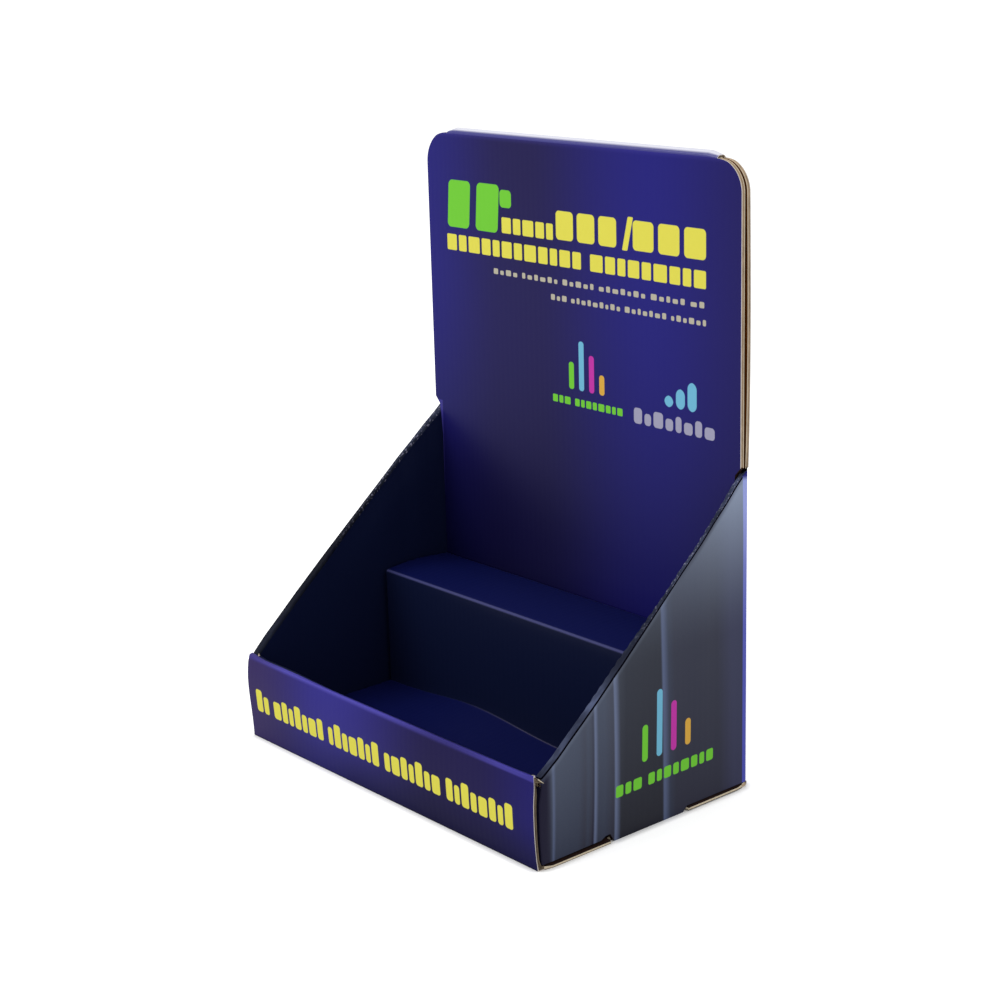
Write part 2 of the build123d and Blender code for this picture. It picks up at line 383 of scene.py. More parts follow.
def swept(line, columns, axes):
    """Rows of 3D points: a line's two coordinates, with columns along the third axis."""
    rows = np.zeros((len(line), len(columns), 3))
    rows[..., axes[0]] = line[:, None, 0]
    rows[..., axes[1]] = line[:, None, 1]
    rows[..., 3 - sum(axes)] = columns
    return rows


X, Y, Z = 0, 1, 2


def sweep(sheet, lines, columns, zone, rows=slice(None)):
    """Faces over rows of a folded line's printed and inner side, straight through the columns."""
    printed, hidden = (swept(line[rows], columns, (Y, Z)) for line in lines)
    sheet.grid(printed, hidden, zone)


def spread(low, high, spacing, *needed):
    """Even places from low to high that include the needed ones."""
    marks = sorted({low, high, *[v for v in needed if low < v < high]})
    places = [low]
    for a, b in zip(marks, marks[1:]):
        places += list(np.linspace(a, b, max(1, math.ceil((b - a) / spacing - 1e-6)) + 1)[1:])
    return np.array(places)


def mirrored(values):
    """The values and their negatives."""
    return [*values, *[-v for v in values]]


def slope_height(y):
    """Height of a side wall's slope at a distance from the front."""
    (y0, z0), (y1, z1) = SLOPE_FRONT, SLOPE_REAR
    return z0 + (z1 - z0) * (np.asarray(y) - y0) / (y1 - y0)


SLOPE_STRETCH = math.hypot(1, (SLOPE_REAR[1] - SLOPE_FRONT[1]) / (SLOPE_REAR[0] - SLOPE_FRONT[0]))
SLOPE_BORDER = FOLD_REACH * SLOPE_STRETCH
HEADER_LOW = float(slope_height(LINING_FACE + BOARD)) + SHOULDER_RELIEF


# Tray sheet

CROSS_MARKS = mirrored([
    WIDTH / 2, WIDTH / 2 - FOLD_REACH, LINING_HALF, *STRIP_ENDS,
])


def cross_columns(half):
    """Places across the tray, shared by every panel that is joined along them."""
    places = spread(-WIDTH / 2, WIDTH / 2, mm(4.0), *CROSS_MARKS)
    return np.array([p for p in places if abs(p) < half + 1e-7])


def ease_lip_lining(points):
    """Moves the lip's inner panel back, below its straight top, where a flap is tucked in."""
    points = points.copy()
    x, y, z = points.T
    beside_flap = smooth((np.abs(x) - (FLAP_END - FLAP_EASING)) / FLAP_EASING)
    points[:, 1] += LAYER * beside_flap * smooth((LIP_HEIGHT - BOARD - z) / mm(12.0))
    return points


def fold_lip(sheet):
    """Lip flange, inner panel, roll-over strip, outer panel and the fold into the base."""
    outer, inner = [], []
    for x in cross_columns(LINING_HALF):
        chamfer = max(0.0, FLANGE_CORNER - (LINING_HALF - abs(x)))
        printed, hidden = folded_line(
            [(LIP_BACK + LIP_FLANGE - chamfer, LIP_FLANGE_TOP), (WALL, LIP_FLANGE_TOP),
             (WALL, LIP_HEIGHT), (LIP_STUB, LIP_HEIGHT)],
            [TIGHT_CREASE, TIGHT_CREASE], [4, 9, 2])
        outer.append(ease_lip_lining(swept(printed, [x], (Y, Z))[:, 0]))
        inner.append(ease_lip_lining(swept(hidden, [x], (Y, Z))[:, 0]))
    sheet.grid(outer, inner, "inside")
    lines = folded_line(
        [(LIP_STUB, LIP_HEIGHT), (0, LIP_HEIGHT), (0, 0), (FOLD_REACH, 0)],
        [SCORED_CREASE, FOOT_CREASE], [1, 14, 2])
    sweep(sheet, lines, cross_columns(WIDTH / 2), "lip")


def lay_base(sheet):
    """Base panel with a notch at each side for the locking tab, and its rear fold."""
    columns = cross_columns(WIDTH / 2)
    sides = spread(FOLD_REACH, WALL_END, mm(4.0), TAB[0] - GAP, TAB[1] + GAP)
    right = []
    for y in sides:
        notched = TAB[0] - GAP <= y <= TAB[1] + GAP
        if abs(y - (TAB[0] - GAP)) < 1e-6:
            right += [(WIDTH / 2, y), (WIDTH / 2 - LAYER, y)]
        elif abs(y - (TAB[1] + GAP)) < 1e-6:
            right += [(WIDTH / 2 - LAYER, y), (WIDTH / 2, y)]
        else:
            right.append((WIDTH / 2 - LAYER * notched, y))
    outline = [(x, FOLD_REACH) for x in columns[:-1]] + right
    outline += [(x, WALL_END) for x in columns[-2::-1]] + [(-x, y) for x, y in right[-2:0:-1]]

    def place(flat):
        on = np.column_stack([flat, np.zeros(len(flat))])
        return on, on + (0, 0, BOARD)

    sheet.panel(outline, mm(8.0), place, "underside")
    lines = folded_line([(WALL_END, 0), (DEPTH, 0), (DEPTH, WALL_FOOT)], [CREASE_RADIUS], [1, 1])
    sweep(sheet, lines, columns, "back")


def front_corner():
    """Plan of the fold from a corner flap to a side wall: its printed and its inner line."""
    half = WIDTH / 2
    return folded_line(
        [(FLAP_END, LAYER), (half, LAYER), (half, WALL_START)], [SCORED_CREASE], [FLAP_PARTS, 2])


def rear_corner():
    """Plan of the fold from a side wall to the back panel: its printed and its inner line."""
    half = WIDTH / 2
    return folded_line([(half, WALL_END), (half, DEPTH), (half - FOLD_REACH, DEPTH)], [TIGHT_CREASE], [1, 1])


def wall_top(y):
    """Height at which a side wall's outer panel meets the strip along its slope."""
    return float(slope_height(y)) - SLOPE_BORDER


SHOULDER_FOOT = wall_top(rear_corner()[0][SHOULDER_STEPS][1])
REAR_ROWS = spread(WALL_FOOT, SHOULDER_HEIGHT, mm(8.0), wall_top(WALL_END), SHOULDER_FOOT)
FRONT_ROWS = spread(WALL_FOOT, wall_top(WALL_START), mm(4.0))
SLOPE_COLUMNS = spread(WALL_START, WALL_END, mm(0.57), LIP_BACK + GAP, LINING_FACE - GAP)


def fold_back(sheet):
    """Back panel and both rear corner folds, whose outer part follows the slope."""
    back = cross_columns(WIDTH / 2 - FOLD_REACH)
    rows = np.array([(DEPTH, z) for z in REAR_ROWS])
    sweep(sheet, (rows, rows - (BOARD, 0)), back, "back")
    printed, hidden = rear_corner()
    low = [z for z in REAR_ROWS if z < wall_top(WALL_END) + 1e-6]
    for side in (1, -1):
        flip = (side, 1, 1)
        split = SHOULDER_STEPS
        sheet.grid(swept(printed[split:], REAR_ROWS, (X, Y)) * flip,
                   swept(hidden[split:], REAR_ROWS, (X, Y)) * flip, "wrap")
        outer, inner = [], []
        for p, q in zip(printed[:split + 1], hidden[:split + 1]):
            heights = [*low, wall_top(p[1])]
            outer.append([(*p, z) for z in heights])
            inner.append([(*q, z) for z in heights])
        sheet.grid(np.array(outer) * flip, np.array(inner) * flip, "wrap")


def foot_line():
    """Foot of a side wall from rear to front, with its locking tab."""
    relief = WALL_FOOT + FOOT_RELIEF
    return [
        (TAB[1], WALL_FOOT), (TAB[1] - TAB_TAPER, 0), (TAB[0] + TAB_TAPER, 0), (TAB[0], relief),
        (TAB[0] - TAB_TAPER, relief), (TAB[0] - 2 * TAB_TAPER, WALL_FOOT + FOOT_RISE),
    ]


def subdivided(points, spacing):
    """The points of an open line with more between them."""
    fine = [points[0]]
    for a, b in zip(points, points[1:]):
        a, b = np.array(a), np.array(b)
        count = max(1, math.ceil(np.linalg.norm(b - a) / spacing))
        fine += [tuple(a + (b - a) * k / count) for k in range(1, count + 1)]
    return fine


def fold_side(sheet, side):
    """Side wall: outer panel, roll-over strip along the slope, inner panel and bottom flange."""
    flip = (side, 1, 1)
    half = WIDTH / 2
    border = [(y, wall_top(y)) for y in SLOPE_COLUMNS]
    front = [(WALL_START, z) for z in FRONT_ROWS[:-1]]
    rear = [(WALL_END, z) for z in REAR_ROWS if z < wall_top(WALL_END) - 1e-6]
    foot = subdivided([rear[0], *foot_line(), front[0]], mm(4.0))
    outline = front + border + rear[::-1] + foot[1:-1]

    def place(flat):
        on = np.column_stack([np.full(len(flat), half), flat])
        return on * flip, (on - (BOARD, 0, 0)) * flip

    sheet.panel(outline, mm(4.5), place, "side")
    roll_over(sheet, flip)

    inner_face = half - WALL
    flange_start = FLANGE_TOP + FOLD_REACH
    rows = np.linspace(0, 1, 14)
    walls = []
    tops = slope_height(SLOPE_COLUMNS) - SLOPE_BORDER
    for x in (inner_face, inner_face + BOARD):
        points = np.zeros((len(rows), len(SLOPE_COLUMNS), 3))
        points[..., 0] = x
        points[..., 1] = SLOPE_COLUMNS
        points[..., 2] = tops + (flange_start - tops) * rows[:, None]
        walls.append(points * flip)
    sheet.grid(*walls, "inside")

    flange_low, flange_high = LIP_BACK + GAP, LINING_FACE - GAP
    outer, inner = [], []
    held = [y for y in SLOPE_COLUMNS if flange_low - 1e-6 < y < flange_high + 1e-6]
    for y in held:
        chamfer = max(0.0, FLANGE_CORNER - min(y - flange_low, flange_high - y))
        printed, hidden = folded_line(
            [(inner_face, flange_start), (inner_face, FLANGE_TOP),
             (inner_face + BOARD - SIDE_FLANGE + chamfer, FLANGE_TOP)],
            [TIGHT_CREASE], [1, 4])
        outer.append(swept(printed, [y], (X, Z))[:, 0] * flip)
        inner.append(swept(hidden, [y], (X, Z))[:, 0] * flip)
    sheet.grid(outer, inner, "inside")
    for ends in ([y for y in SLOPE_COLUMNS if y < flange_low + 1e-6],
                 [y for y in SLOPE_COLUMNS if y > flange_high - 1e-6]):
        rows = np.array([(inner_face, flange_start), (inner_face, LAYER)])
        sheet.grid(swept(rows, ends, (X, Z)) * flip, swept(rows + (BOARD, 0), ends, (X, Z)) * flip, "inside")


def roll_over(sheet, flip):
    """Strip along a side wall's slope; at both ends it narrows round the corner folds."""
    half = WIDTH / 2
    low = -FOLD_REACH
    section = folded_line(
        [(half, low), (half, 0), (half - WALL, 0), (half - WALL, low)],
        [SCORED_CREASE, TIGHT_CREASE], [LEG_PARTS, STRIP_PARTS, LEG_PARTS])
    outer_end, inner_start = LEG_PARTS + ARC_STEPS, LEG_PARTS + STRIP_PARTS + ARC_STEPS
    follow = np.interp(np.arange(len(section[0])), [outer_end, inner_start], [1, 0])
    plan = [np.concatenate([front[FLAP_PARTS:-1], [(edge, y) for y in SLOPE_COLUMNS],
                            rear[1:SHOULDER_STEPS + 1]])
            for front, rear, edge in zip(front_corner(), rear_corner(), (half, half - BOARD))]
    strips = []
    for line, path, edge in zip(section, plan, (half, half - BOARD)):
        points = np.zeros((len(line), len(path), 3))
        points[..., 0] = line[:, None, 0] + follow[:, None] * (path[:, 0] - edge)
        points[..., 1] = plan[0][:, 1] + follow[:, None] * (path[:, 1] - plan[0][:, 1])
        points[..., 2] = slope_height(plan[0][:, 1]) + line[:, None, 1] * SLOPE_STRETCH
        strips.append(points * flip)
    crease, last_row = LEG_PARTS + 1, len(follow) - 1
    inner_leg, bend = last_row - LEG_PARTS, len(plan[0]) - 1 - SHOULDER_STEPS
    # The outer crease of each strip gets the crease finish: painted near-black shade.
    for first, last, zone, corner in (
            (0, crease, "side", "wrap"), (crease, outer_end, "crease", "wrap"),
            (outer_end, inner_leg, "strip", "strip"), (inner_leg, last_row, "inside", "inside")):
        rows = slice(first, last + 1)
        sheet.grid(strips[0][rows, :bend + 1], strips[1][rows, :bend + 1], zone)
        sheet.grid(strips[0][rows, bend:], strips[1][rows, bend:], corner)


def tuck_flap(sheet, side):
    """Front corner fold of a side wall and the flap behind the lip."""
    outer, inner = [], []
    shares = (FRONT_ROWS - WALL_FOOT) / (FRONT_ROWS[-1] - WALL_FOOT)
    for p, q in zip(*front_corner()):
        heights = WALL_FOOT + shares * (wall_top(p[1]) - WALL_FOOT)
        outer.append([(*p, z) for z in heights])
        inner.append([(*q, z) for z in heights])
    flip = (side, 1, 1)
    sheet.grid(np.array(outer) * flip, np.array(inner) * flip, "side")


def rounded_top(radius, drop):
    """One side's top corner of the header, from its straight side to the strip's end."""
    centre, top = WIDTH / 2 - radius, HEIGHT - drop
    steps = np.linspace(0, math.pi / 2, 17)
    arc = [(centre + radius * math.cos(a), top - radius * (1 - math.sin(a))) for a in steps]
    return arc + [(centre, HEIGHT - FOLD_REACH)]


def raise_header(sheet):
    """Both header layers, the strip that joins them, and the lining of the back."""
    columns = [x for x in cross_columns(WIDTH / 2) if STRIP_ENDS[0] - 1e-7 < x < STRIP_ENDS[1] + 1e-7]
    strip_line = [(x, HEIGHT - FOLD_REACH) for x in columns[-2:0:-1]]

    def outline(bottom, side_low):
        right, left = (
            [(WIDTH / 2, z) for z in spread(side_low, HEIGHT - drop - radius, mm(8.0))[:-1]]
            + rounded_top(radius, drop)
            for radius, drop in ((RIGHT_CORNER, RIGHT_DROP), (LEFT_CORNER, LEFT_DROP)))
        return bottom + right + strip_line + [(-x, z) for x, z in left[::-1]]

    def placed(y, inner_y):
        def place(flat):
            on = np.column_stack([flat[:, 0], np.full(len(flat), y), flat[:, 1]])
            hidden = on.copy()
            hidden[:, 1] = inner_y
            return on, hidden
        return place

    bottom = [(x, SHOULDER_HEIGHT) for x in cross_columns(WIDTH / 2 - FOLD_REACH)]
    sheet.panel(outline(bottom, SHOULDER_HEIGHT), mm(7.0), placed(DEPTH, DEPTH - BOARD), "back")
    lining = cross_columns(LINING_HALF)
    lining_low = FLANGE_TOP + GAP
    side = [(LINING_HALF, z) for z in spread(lining_low, HEADER_LOW, mm(8.0))]
    bottom = [(x, lining_low) for x in lining[1:-1]]
    bottom = [(-x, z) for x, z in side[::-1]] + bottom + side
    sheet.panel(outline(bottom, HEADER_LOW + SHOULDER_CUT), mm(7.0),
                placed(LINING_FACE, LINING_FACE + BOARD), "header")
    low = HEIGHT - FOLD_REACH
    lines = folded_line(
        [(DEPTH, low), (DEPTH, HEIGHT), (LINING_FACE, HEIGHT), (LINING_FACE, low)],
        [CREASE_RADIUS, CREASE_RADIUS], [2, 1, 2])
    crown = len(lines[0]) - 3
    sweep(sheet, lines, columns, "crown", slice(crown + 1))
    sweep(sheet, lines, columns, "header", slice(crown, None))


def smooth(value):
    """Zero to one with soft ends."""
    value = np.clip(value, 0, 1)
    return value * value * (3 - 2 * value)


def lip_give(x, z, bow):
    """How far the lip bows forward: full and round at its right end, fuller near the top at its left."""
    level = np.clip(z / LIP_HEIGHT, 0, 1.1)
    right = np.sin(math.pi / 2 * np.minimum(1, (level / 0.65) ** 0.8))
    right = right - 0.22 * np.clip((level - 0.65) / 0.35, 0, 1.3) ** 2
    left = 0.7 * np.sin(math.pi * np.clip(level, 0, 1) ** 1.8)
    share = np.clip(x / WIDTH + 0.5, 0, 1)
    return bow * (right * share + left * (1 - share))


WALL_BOW_PLACES = mm(1) * np.array([0, 5, 10, 16, 30, 46, 61, 80, 92, 100, 108, 114])
WALL_BOW_SHARES = np.array([0.15, 0.5, 0.76, 0.8, 1.0, 1.0, 0.84, 0.6, 0.54, 0.28, 0.16, 0.0])
WALL_PINCH_PLACES = DEPTH - mm(1) * np.array([13, 6, 3, 1.5])
WALL_PINCH_SHARES = np.array([0.0, 0.14, 0.16, 0.0])


def wall_give(points, bow):
    """How far a side wall bows outward: most along its slope, and inward at the slope's rear end."""
    _, y, z = points.T
    share = np.interp(y, WALL_BOW_PLACES, WALL_BOW_SHARES)
    rise = np.clip(z / slope_height(y), 0, 1)
    outward = share * np.sin(math.pi / 2 * rise) ** 0.8
    pinch = np.interp(y, WALL_PINCH_PLACES, WALL_PINCH_SHARES) * smooth(1 - below_slope(points) / mm(22.0))
    return bow * (outward - pinch)


def give_tray(points, board):
    """Moves the tray's points as the real board gives."""
    points = points.copy()
    x, y, z = points.T
    half = WIDTH / 2
    held = 1 - smooth((y - mm(5.0)) / mm(22.0))
    wall = (np.abs(x) > LINING_HALF + mm(0.1)) & (y > LIP_STUB + mm(0.05))
    beside_lip = (1 - smooth((z - mm(28.0)) / mm(9.0))) * (1 - smooth((y - mm(2.0)) / mm(9.0)))
    forward = lip_give(x, z, board.lip_bow) * held * np.where(wall, 0.15 + 0.65 * beside_lip, 1.0)
    level = smooth(z / LIP_HEIGHT)
    curl = 1.35 * smooth((-x - half + mm(10.0)) / mm(10.0))
    lift = mm(1.0) * (x / half + curl) * level * held
    along = smooth((x + half - mm(25.0)) / mm(45.0)) * (1 - 0.45 * smooth((x - half + mm(15.0)) / mm(15.0)))
    near_top = smooth((z - LIP_HEIGHT + mm(20.0)) / mm(18.0))
    lift -= board.lip_sag * along * np.clip(y / WALL, 0, 1) * near_top
    lift *= (np.abs(y) < mm(8.0)) & ~wall
    right_end = smooth((x - half + mm(5.0)) / mm(5.0))
    drawn = mm(0.4) * right_end * (1 - smooth((z - mm(28.0)) / mm(8.0))) * (y < LIP_STUB)
    end = smooth((np.maximum(x - STRIP_ENDS[1], STRIP_ENDS[0] - x) + mm(4.0)) / mm(4.0))
    top = np.clip((z - HEIGHT + FOLD_REACH) / FOLD_REACH, 0, 1)
    lift += top * (board.crown_rise * (1 - end) * np.clip((y - LINING_FACE) / mm(4.0), 0, 1) - mm(0.75) * end)
    tip = right_end * smooth((z - LIP_HEIGHT + mm(2.5)) / mm(2.5))
    tip *= (1 - 1.7 * np.clip(y / LIP_STUB, 0, 1)) * (y < LIP_STUB + mm(0.1))
    beside = smooth((np.abs(x) - half + mm(9.0)) / mm(4.0)) * (below_slope(points) > -mm(1.0))
    outward = wall_give(points, board.wall_bow) * beside * np.sign(x)
    header = np.clip((z - SHOULDER_HEIGHT) / (HEIGHT - SHOULDER_HEIGHT), 0, 1)
    back = board.header_gape * np.sin(math.pi * header ** 0.8) * smooth((y - LINING_FACE - BOARD) / (GAP * 4))
    points[:, 0] += outward - drawn
    points[:, 1] += back - forward
    points[:, 2] += lift + board.lip_tip * tip
    return points


def below_slope(points):
    """Distance of each point below the plane of the slopes."""
    return (slope_height(points[:, 1]) - points[:, 2]) / SLOPE_STRETCH


SQUEEZE_PLACES = mm(1) * np.array([45, 72, 98, 114])
SQUEEZE_SHARES = np.array([0.0, 1.0, 1.0, 0.6])
RUFFLE_WAVES = (910, 523)


def squeeze(points, board):
    """Presses both layers of a side wall together along the rear of its slope."""
    points = points.copy()
    x, y, _ = points.T
    below = below_slope(points)
    near = smooth(1 - below / mm(14.0)) * (below > -mm(1.0)) * (np.abs(x) > WIDTH / 2 - WALL - mm(0.1))
    along = np.interp(y, SQUEEZE_PLACES, SQUEEZE_SHARES)
    share = board.squeeze * along * near * (y < SLOPE_REAR[0] + mm(0.1))
    points[:, 0] = np.sign(x) * (WIDTH / 2 - (WIDTH / 2 - np.abs(x)) * (1 - share))
    return widen_lining(points)


def widen_lining(points):
    """Brings the top of the back's lining out to the squeezed walls."""
    x, y, z = points.T
    across = smooth((np.abs(x) - LINING_HALF + mm(8.0)) / mm(8.0)) * (np.abs(x) < LINING_HALF + mm(0.1))
    layer = (np.abs(y - LINING_FACE - BOARD / 2) < BOARD / 2 + mm(0.1)) & (z < HEADER_LOW + mm(0.1))
    points[:, 0] += np.sign(x) * mm(1.4) * across * layer * smooth(1 - (mm(138.0) - z) / mm(14.0))
    return points


def ruffle(points, board):
    """Flute bumps along the inner crease of both slopes, where the film wraps the crushed board."""
    points = points.copy()
    x, y, _ = points.T
    below = below_slope(points)
    inner_edge = WIDTH / 2 - WALL
    near = np.exp(-((np.abs(x) - inner_edge - mm(0.4)) / mm(0.9)) ** 2 - (below / mm(1.1)) ** 2)
    on_slope = (y > WALL_START - 1e-6) & (y < WALL_END + 1e-6) & (np.abs(below) < FOLD_REACH)
    ragged = smooth((y - mm(18.0)) / mm(25.0)) * 0.85 + 0.15
    wave = np.sin(math.pi * y / board.flute_pitch)
    fast, slow = RUFFLE_WAVES
    uneven = 0.65 + 0.35 * np.sin(y * fast + np.sign(x)) * np.sin(y * slow)
    size = board.ruffle * near * on_slope * ragged * (wave ** 2 - 0.45) * uneven
    points[:, 0] -= np.sign(x) * size
    points[:, 2] += size * 0.8
    return points


def crush_ends(points, outer, board):
    """Presses the inner liner of the lip towards its face at both raw ends, most at the top."""
    points = points.copy()
    end = smooth((np.abs(outer[:, 0]) - WIDTH / 2 + mm(4.0)) / mm(4.0))
    on_lip = (outer[:, 1] < mm(0.1)) & (outer[:, 2] > mm(1.5)) & (outer[:, 2] < LIP_HEIGHT - mm(0.3))
    tip = 1 + 1.2 * smooth((outer[:, 2] - LIP_HEIGHT + mm(5.0)) / mm(4.0))
    points[:, 1] -= board.crush * end * tip * on_lip
    return points


def base_sides(outer):
    """Share of each point in the base's raw sides, beside the locking tabs."""
    x, y, z = outer.T
    beside_tab = (y < TAB[0] - GAP + mm(0.1)) | (y > TAB[1] + GAP - mm(0.1))
    ends = smooth((y - FOLD_REACH) / mm(4.0)) * smooth((WALL_END - y) / mm(4.0))
    return smooth((np.abs(x) - WIDTH / 2 + mm(4.0)) / mm(4.0)) * (z < mm(0.1)) * beside_tab * ends


def tray_sheet(board):
    """The whole tray as one folded sheet."""
    sheet = Sheet()
    fold_lip(sheet)
    lay_base(sheet)
    fold_back(sheet)
    for side in (1, -1):
        fold_side(sheet, side)
        tuck_flap(sheet, side)
    raise_header(sheet)
    outer, inner = np.array(sheet.outer), np.array(sheet.inner)
    inner = crush_ends(inner, outer, board)
    sides = base_sides(outer)
    inner[:, 2] -= board.crush * sides
    raised = mm(0.35) * sides * (outer[:, 1] > TAB[1])
    for points in (outer, inner):
        points[:, 0] += np.sign(points[:, 0]) * board.base_reach * sides
        points[:, 2] += raised
    sheet.outer = give_tray(squeeze(ruffle(outer, board), board), board)
    sheet.inner = give_tray(squeeze(inner, board), board)
    return sheet


def step_sheet(board):
    """The insert as one folded sheet."""
    sheet = Sheet()
    lines = folded_line(
        [(STEP_REAR, STEP_FOOT), (STEP_REAR, STEP_HEIGHT), (RISER_FROM_FRONT, STEP_HEIGHT),
         (RISER_FROM_FRONT, TREAD_TOP), (STEP_FRONT, TREAD_TOP)],
        [TIGHT_CREASE] * 3, [10, 12, 12, 16])
    columns = spread(-STEP_WIDTH / 2, STEP_WIDTH / 2, mm(3.5))
    panels = [0, 10 + ARC_STEPS, 22 + ARC_STEPS, 34 + 3 * ARC_STEPS, 50 + 3 * ARC_STEPS]
    for first, last, zone in zip(panels, panels[1:], ("step", "tread", "step", "tread")):
        sweep(sheet, lines, columns, zone, slice(first, last + 1))
    sheet.outer = give_step(np.array(sheet.outer), board)
    sheet.inner = give_step(np.array(sheet.inner), board)
    return sheet


def give_step(points, board):
    """Arch of the upper tread, and the lift of the lower tread at the riser's foot."""
    points = points.copy()
    x, y, z = points.T
    across = np.clip((y - RISER_FROM_FRONT) / (STEP_REAR - RISER_FROM_FRONT), 0, 1)
    high = smooth((z - STEP_HEIGHT + mm(12.0)) / mm(10.0))
    arch = board.tread_arch * np.sin(math.pi * across) * high
    hump = np.exp(-((x + mm(28.0)) / mm(38.0)) ** 2)
    toward = np.clip((y - mm(25.0)) / (RISER_FROM_FRONT - mm(25.0)), 0, 1) ** 1.6
    low = np.clip(1 - (z - TREAD_TOP) / (STEP_HEIGHT - TREAD_TOP), 0, 1) ** 1.5
    in_front = y < RISER_FROM_FRONT + BOARD + mm(0.5)
    bulge = board.foot_bulge * hump * toward * low * in_front
    points[:, 2] += arch + bulge
    return points


def edge_ways(sheet, edges):
    """For each point of a free edge, the way into the board."""
    ways = {}
    for (a, b), corners in edges.items():
        start, end = np.array(sheet.outer[a]), np.array(sheet.outer[b])
        along = unit(end - start)
        middle = np.mean([sheet.outer[c] for c in corners], axis=0) - (start + end) / 2
        way = unit(middle - along * (middle @ along))
        for point in (a, b):
            ways.setdefault(point, []).append(way)
    return {p: unit(np.sum(w, axis=0)) / max(0.5, float(np.linalg.norm(np.mean(w, axis=0))))
            for p, w in ways.items()}


CUT_EDGE = ("paper_edge", "flute_edge", "flute_edge", "flute_edge", "kraft_edge")
LIP_EDGE = ("paper_edge", "crushed_edge", "crushed_edge", "crushed_edge", "crushed_edge")
# Raw ends wrapped in film, painted near-black as shade.
WRAPPED_SHADED_EDGE = ("crease",) * 5
# Raw edges deep between panels: the hollow finish, painted shade.
DARK_EDGE = ("hollow",) * 5
# The base's raw sides: a darker crushed ring at the bottom, kraft, and a top ring painted near-black as the
# shade under the wall's foot.
BASE_EDGE = ("crushed_edge", "kraft_edge", "kraft_edge", "kraft_edge", "crease")
CROWN_EDGE = ("paper_edge", "paper_edge", "crushed_edge", "kraft_edge", "kraft_edge")
EDGE_FINISHES = {
    "lip": LIP_EDGE, "underside": BASE_EDGE, "crown": CROWN_EDGE,
    "strip": WRAPPED_SHADED_EDGE, "crease": WRAPPED_SHADED_EDGE, "wrap": WRAPPED_SHADED_EDGE,
}


def edge_cut(zone, height):
    """Finishes across a raw edge, which gets painted shade where it lies deep between panels."""
    dark_below = {"side": mm(6.0), "header": HEADER_LOW + SHOULDER_CUT - mm(0.2)}.get(zone, 0.0)
    if height < dark_below:
        return DARK_EDGE
    return EDGE_FINISHES.get(zone, CUT_EDGE)


def make_board(name, sheet, board, finishes, hidden):
    """Mesh object of a sheet with its inner face and its cut edges of liner, flute and liner."""
    outer, inner = np.asarray(sheet.outer), np.asarray(sheet.inner)
    count = len(outer)
    points = [*outer, *inner]
    slots = list(finishes)
    faces = [list(corners) for corners in sheet.faces]
    marks = [slots.index(zone) for zone in sheet.zones]
    faces += [[c + count for c in corners[::-1]] for corners in sheet.faces]
    marks += [slots.index(hidden)] * len(sheet.faces)
    edges = sheet.raw_edges()
    ways = edge_ways(sheet, edges)
    share = board.liner / BOARD
    zones = {tuple(corners): zone for corners, zone in zip(sheet.faces, sheet.zones)}
    cuts = {edge: edge_cut(zones[tuple(corners)], (outer[edge[0]][2] + outer[edge[1]][2]) / 2)
            for edge, corners in edges.items()}
    closed = {p for edge, cut in cuts.items() if cut in (WRAPPED_SHADED_EDGE, BASE_EDGE) for p in edge}
    rings = {}
    for p, way in ways.items():
        recess = way * board.flute_recess * (p not in closed)
        through = inner[p] - outer[p]
        made = [outer[p] + through * share, outer[p] + through * share + recess,
                outer[p] + through * (1 - share) + recess, outer[p] + through * (1 - share)]
        rings[p] = [p, *range(len(points), len(points) + 4), p + count]
        points += made
    for (a, b), cut in cuts.items():
        for k, finish in enumerate(cut):
            faces.append([rings[b][k], rings[a][k], rings[a][k + 1], rings[b][k + 1]])
            marks.append(slots.index(finish))
    points = np.array(points)
    points[:, 1] -= DEPTH / 2
    mesh = bpy.data.meshes.new(name)
    mesh.from_pydata([tuple(p) for p in points], [], faces)
    for finish in slots:
        mesh.materials.append(finishes[finish])
    mesh.polygons.foreach_set("material_index", marks)
    mesh.polygons.foreach_set("use_smooth", [True] * len(faces))
    mesh.update()
    piece = bpy.data.objects.new(name, mesh)
    bpy.context.scene.collection.objects.link(piece)
    sharpen(piece, len(sheet.faces))
    return piece


def sharpen(piece, printed):
    """Marks the rims between the printed face, the inner face and the cut edges as sharp."""
    mesh = piece.data
    kinds = {}
    for polygon in mesh.polygons:
        layer = min(polygon.index // printed, 2)
        kind = layer + polygon.material_index if layer == 2 else layer
        for key in polygon.edge_keys:
            kinds.setdefault(key, set()).add(kind)
    sharp = [len(kinds[edge.key]) > 1 for edge in mesh.edges]
    mesh.attributes.new("sharp_edge", "BOOLEAN", "EDGE").data.foreach_set("value", sharp)
    mesh.update()


# Finishes

